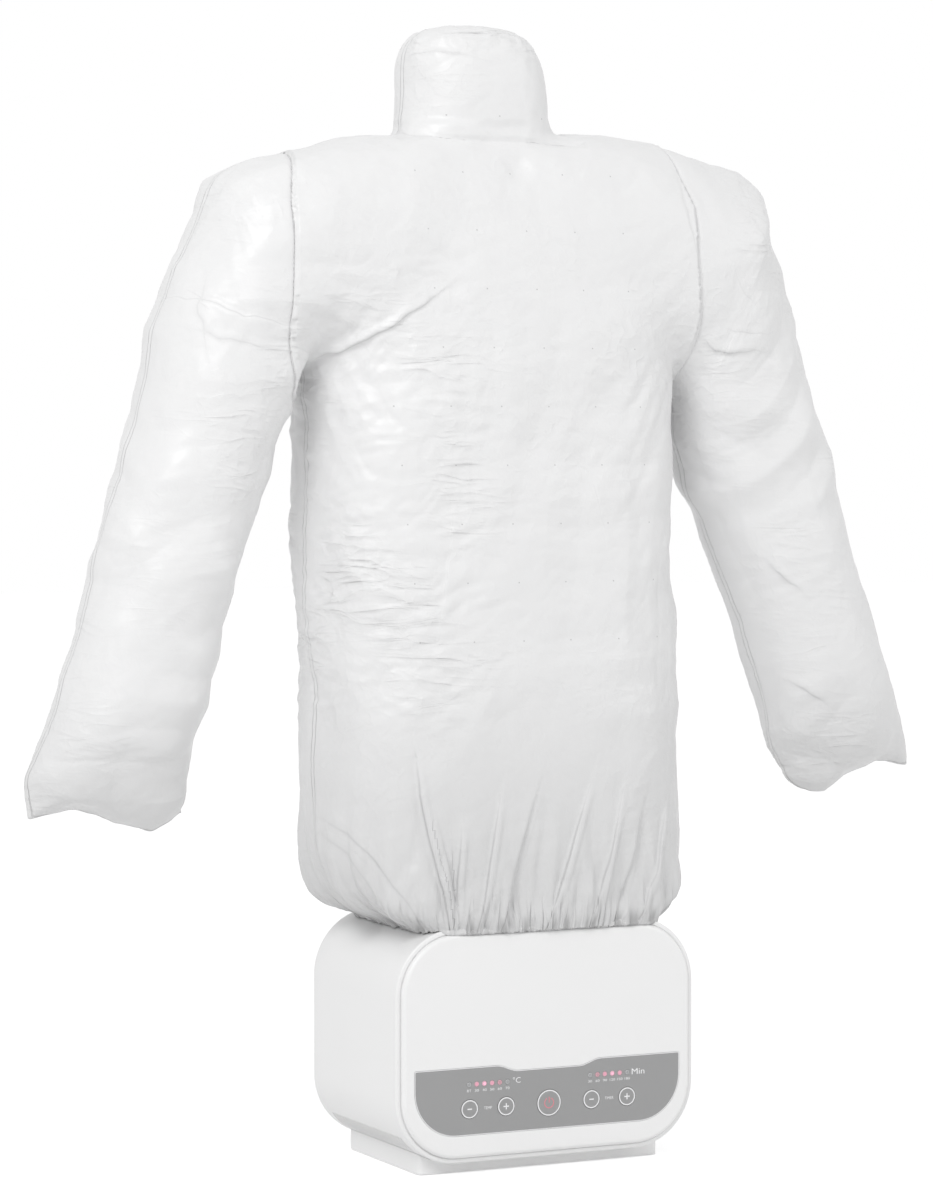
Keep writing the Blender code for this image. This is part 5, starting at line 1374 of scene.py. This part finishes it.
def neat_edges(points, quads, part, form):
    """Draws the points on the cut edges onto the seam lines themselves."""
    lowest = np.full(len(points), 9)
    highest = np.full(len(points), -1)
    np.minimum.at(lowest, quads.ravel(), part.repeat(4))
    np.maximum.at(highest, quads.ravel(), part.repeat(4))
    near = 0.004
    points = points.copy()
    for number, side in ((1, -1), (2, 1)):
        far = armhole_distance(points, side)
        edge = (lowest != highest) & (np.round(form) == number) & (np.abs(far) < near)
        points[:, 0] = np.where(edge, points[:, 0] - side * far, points[:, 0])
    far = neck_distance(points)
    edge = (lowest < 2) & (highest == 4) & (np.abs(far) < near)
    points[:, 2] = np.where(edge, points[:, 2] - far, points[:, 2])
    edge = (lowest == 0) & (highest == 1) & (np.abs(points[:, 1] - BAG_MIDDLE) < near)
    points[:, 1] = np.where(edge, BAG_MIDDLE, points[:, 1])
    return points


def hem_low(x, y):
    """Height of the hem's lower edge, which lies on the housing's round top and hangs over front and back."""
    top = HOUSING_TOP - HOUSING_CORNER + corner_height(x)
    return top + 0.0010 - 0.0075 * step_between(0.0940, 0.1025, np.abs(y))


def split_skin(bag):
    """Cuts the skin along its seams into panels, sleeves and neck, each with a wall half a millimetre thick.

    The inner wall is the outer one moved in along its normals, and a rim of quads joins them at each cut edge.
    The panels keep the whole skin's normals, so the shading runs on across the seams.
    """
    data = bag.data
    points, quads, part = skin_parts(data)
    move_to(data, points)
    normals = normals_of(data)
    notes = {name: attribute_of(data, name) for name in ("crease", "crease_size", "seam", "loose", "drum")}
    names = (
        ("bag_front", "bag_front_panel", "pierced_film"),
        ("bag_back", "bag_back_panel", "pierced_film"),
        ("left_sleeve_skin", "bag_sleeve_left", "film"),
        ("right_sleeve_skin", "bag_sleeve_right", "film"),
        ("neck_skin", "bag_neck", "pierced_film"),
    )
    for number, (name, node, finish) in enumerate(names):
        used, local = np.unique(quads[part == number], return_inverse=True)
        local = local.reshape(-1, 4)
        outer = points[used]
        way = normals[used]
        inner = outer - FILM_WALL * way
        count = len(used)
        edges = np.stack([local, np.roll(local, -1, axis=1)], -1).reshape(-1, 2)
        key = np.sort(edges, axis=1) @ np.array([count, 1])
        _, first, times = np.unique(key, return_index=True, return_counts=True)
        rim = edges[first[times == 1]]
        rim_faces = np.stack([rim[:, 1], rim[:, 0], rim[:, 0] + count, rim[:, 1] + count], -1)
        faces = np.concatenate([local, local[:, ::-1] + count, rim_faces])
        made = bpy.data.meshes.new(name)
        made.from_pydata(np.concatenate([outer, inner]).tolist(), [], faces.tolist())
        made.shade_smooth()
        for note, values in notes.items():
            set_attribute(made, note, np.concatenate([values[used], values[used]]))
        made.normals_split_custom_set_from_vertices(np.concatenate([way, -way]).tolist())
        piece = make_piece(name, made, finish, "air_bag", "bag_fabric", node)
    bpy.data.objects.remove(bag, do_unlink=True)


def make_hem():
    """The gathered hem: a flat channel carried round a super-ellipse, ruffled by triangle waves along it.

    Each row is (how far out, height above the lower edge); the ruffles grow towards the lower edge.
    """
    angle = np.arange(720) * math.tau / 720
    outline = powered(np.stack([np.cos(angle), np.sin(angle)], -1), 2 / 9.0) * HEM_HALF
    ring = np.vstack([outline, outline[:1]])
    length = np.concatenate([[0], np.cumsum(np.linalg.norm(np.diff(ring, axis=0), axis=1))])
    place = np.arange(HEM_STEPS) * length[-1] / HEM_STEPS
    base = np.stack([np.interp(place, length, ring[:, 0]), np.interp(place, length, ring[:, 1])], -1)
    run = np.roll(base, -2, axis=0) - np.roll(base, 2, axis=0)
    way = np.stack([run[:, 1], -run[:, 0]], -1) / np.linalg.norm(run, axis=1)[:, None]
    profile = np.array([
        (-0.0046, 0.0118), (-0.0040, 0.0124), (-0.0026, 0.0108), (-0.0010, 0.0080), (0.0002, 0.0055),
        (0.0011, 0.0038), (0.0013, 0.0026), (0.0011, 0.0014), (0.0006, 0.0004), (-0.0004, 0.0000),
        (-0.0012, 0.0006), (-0.0018, 0.0030), (-0.0032, 0.0070),
    ])
    turn = place / length[-1] * math.tau
    ringed = np.stack([np.cos(turn), np.sin(turn), 0 * turn], -1) * length[-1] / math.tau
    ruffle = folds(ringed, (0.0055, 0.0105), 8, 61, (1, 1, 1), (0.03, 0.07))
    ruffle = ruffle / np.abs(ruffle).max()
    sway = waves(ringed, (0.02, 0.05), 10, 62)
    share = np.clip(1 - profile[:, 1] / 0.011, 0, 1)
    outer_side = np.clip((profile[:, 0] + 0.0016) / 0.0025, 0, 1)
    stand = profile[:, 0][:, None] - 0.0008 + 0.0011 * (share * outer_side)[:, None] * ruffle[None]
    x = base[None, :, 0] + way[None, :, 0] * stand + HEM_MIDDLE
    y = base[None, :, 1] + way[None, :, 1] * stand
    rise = profile[:, 1][:, None] + 0.0007 * (outer_side * share)[:, None] * (ruffle + 0.4 * sway)[None]
    z = hem_low(base[:, 0] + HEM_MIDDLE, base[:, 1])[None] + rise
    points = np.stack([x, y, z], -1)
    data = mesh_of(points, band_faces(len(profile), HEM_STEPS, True))
    own = points_of(data)
    set_attribute(data, "drum", hem_place(own))
    for name, value in (("loose", 0.3), ("seam", 0.05), ("crease", 0.05)):
        set_attribute(data, name, np.full(len(own), value))
    data.shade_smooth()
    hem = make_piece("hem_gather", data, "film", "air_bag", "bag_fabric", "bag_hem_elastic")


place_camera()
light_studio()
lay_floor()
make_housing()
make_seam_tongue()
make_cover()
make_overlay()
make_keys()
make_lights()
print_scales()
finish_cad_nodes()
make_plinth()
make_louvre_shade_strips()
FINISHES["film"] = film_finish("bag_film", False)
FINISHES["pierced_film"] = film_finish("pierced_bag_film", True)
split_skin(make_bag())
make_hem()
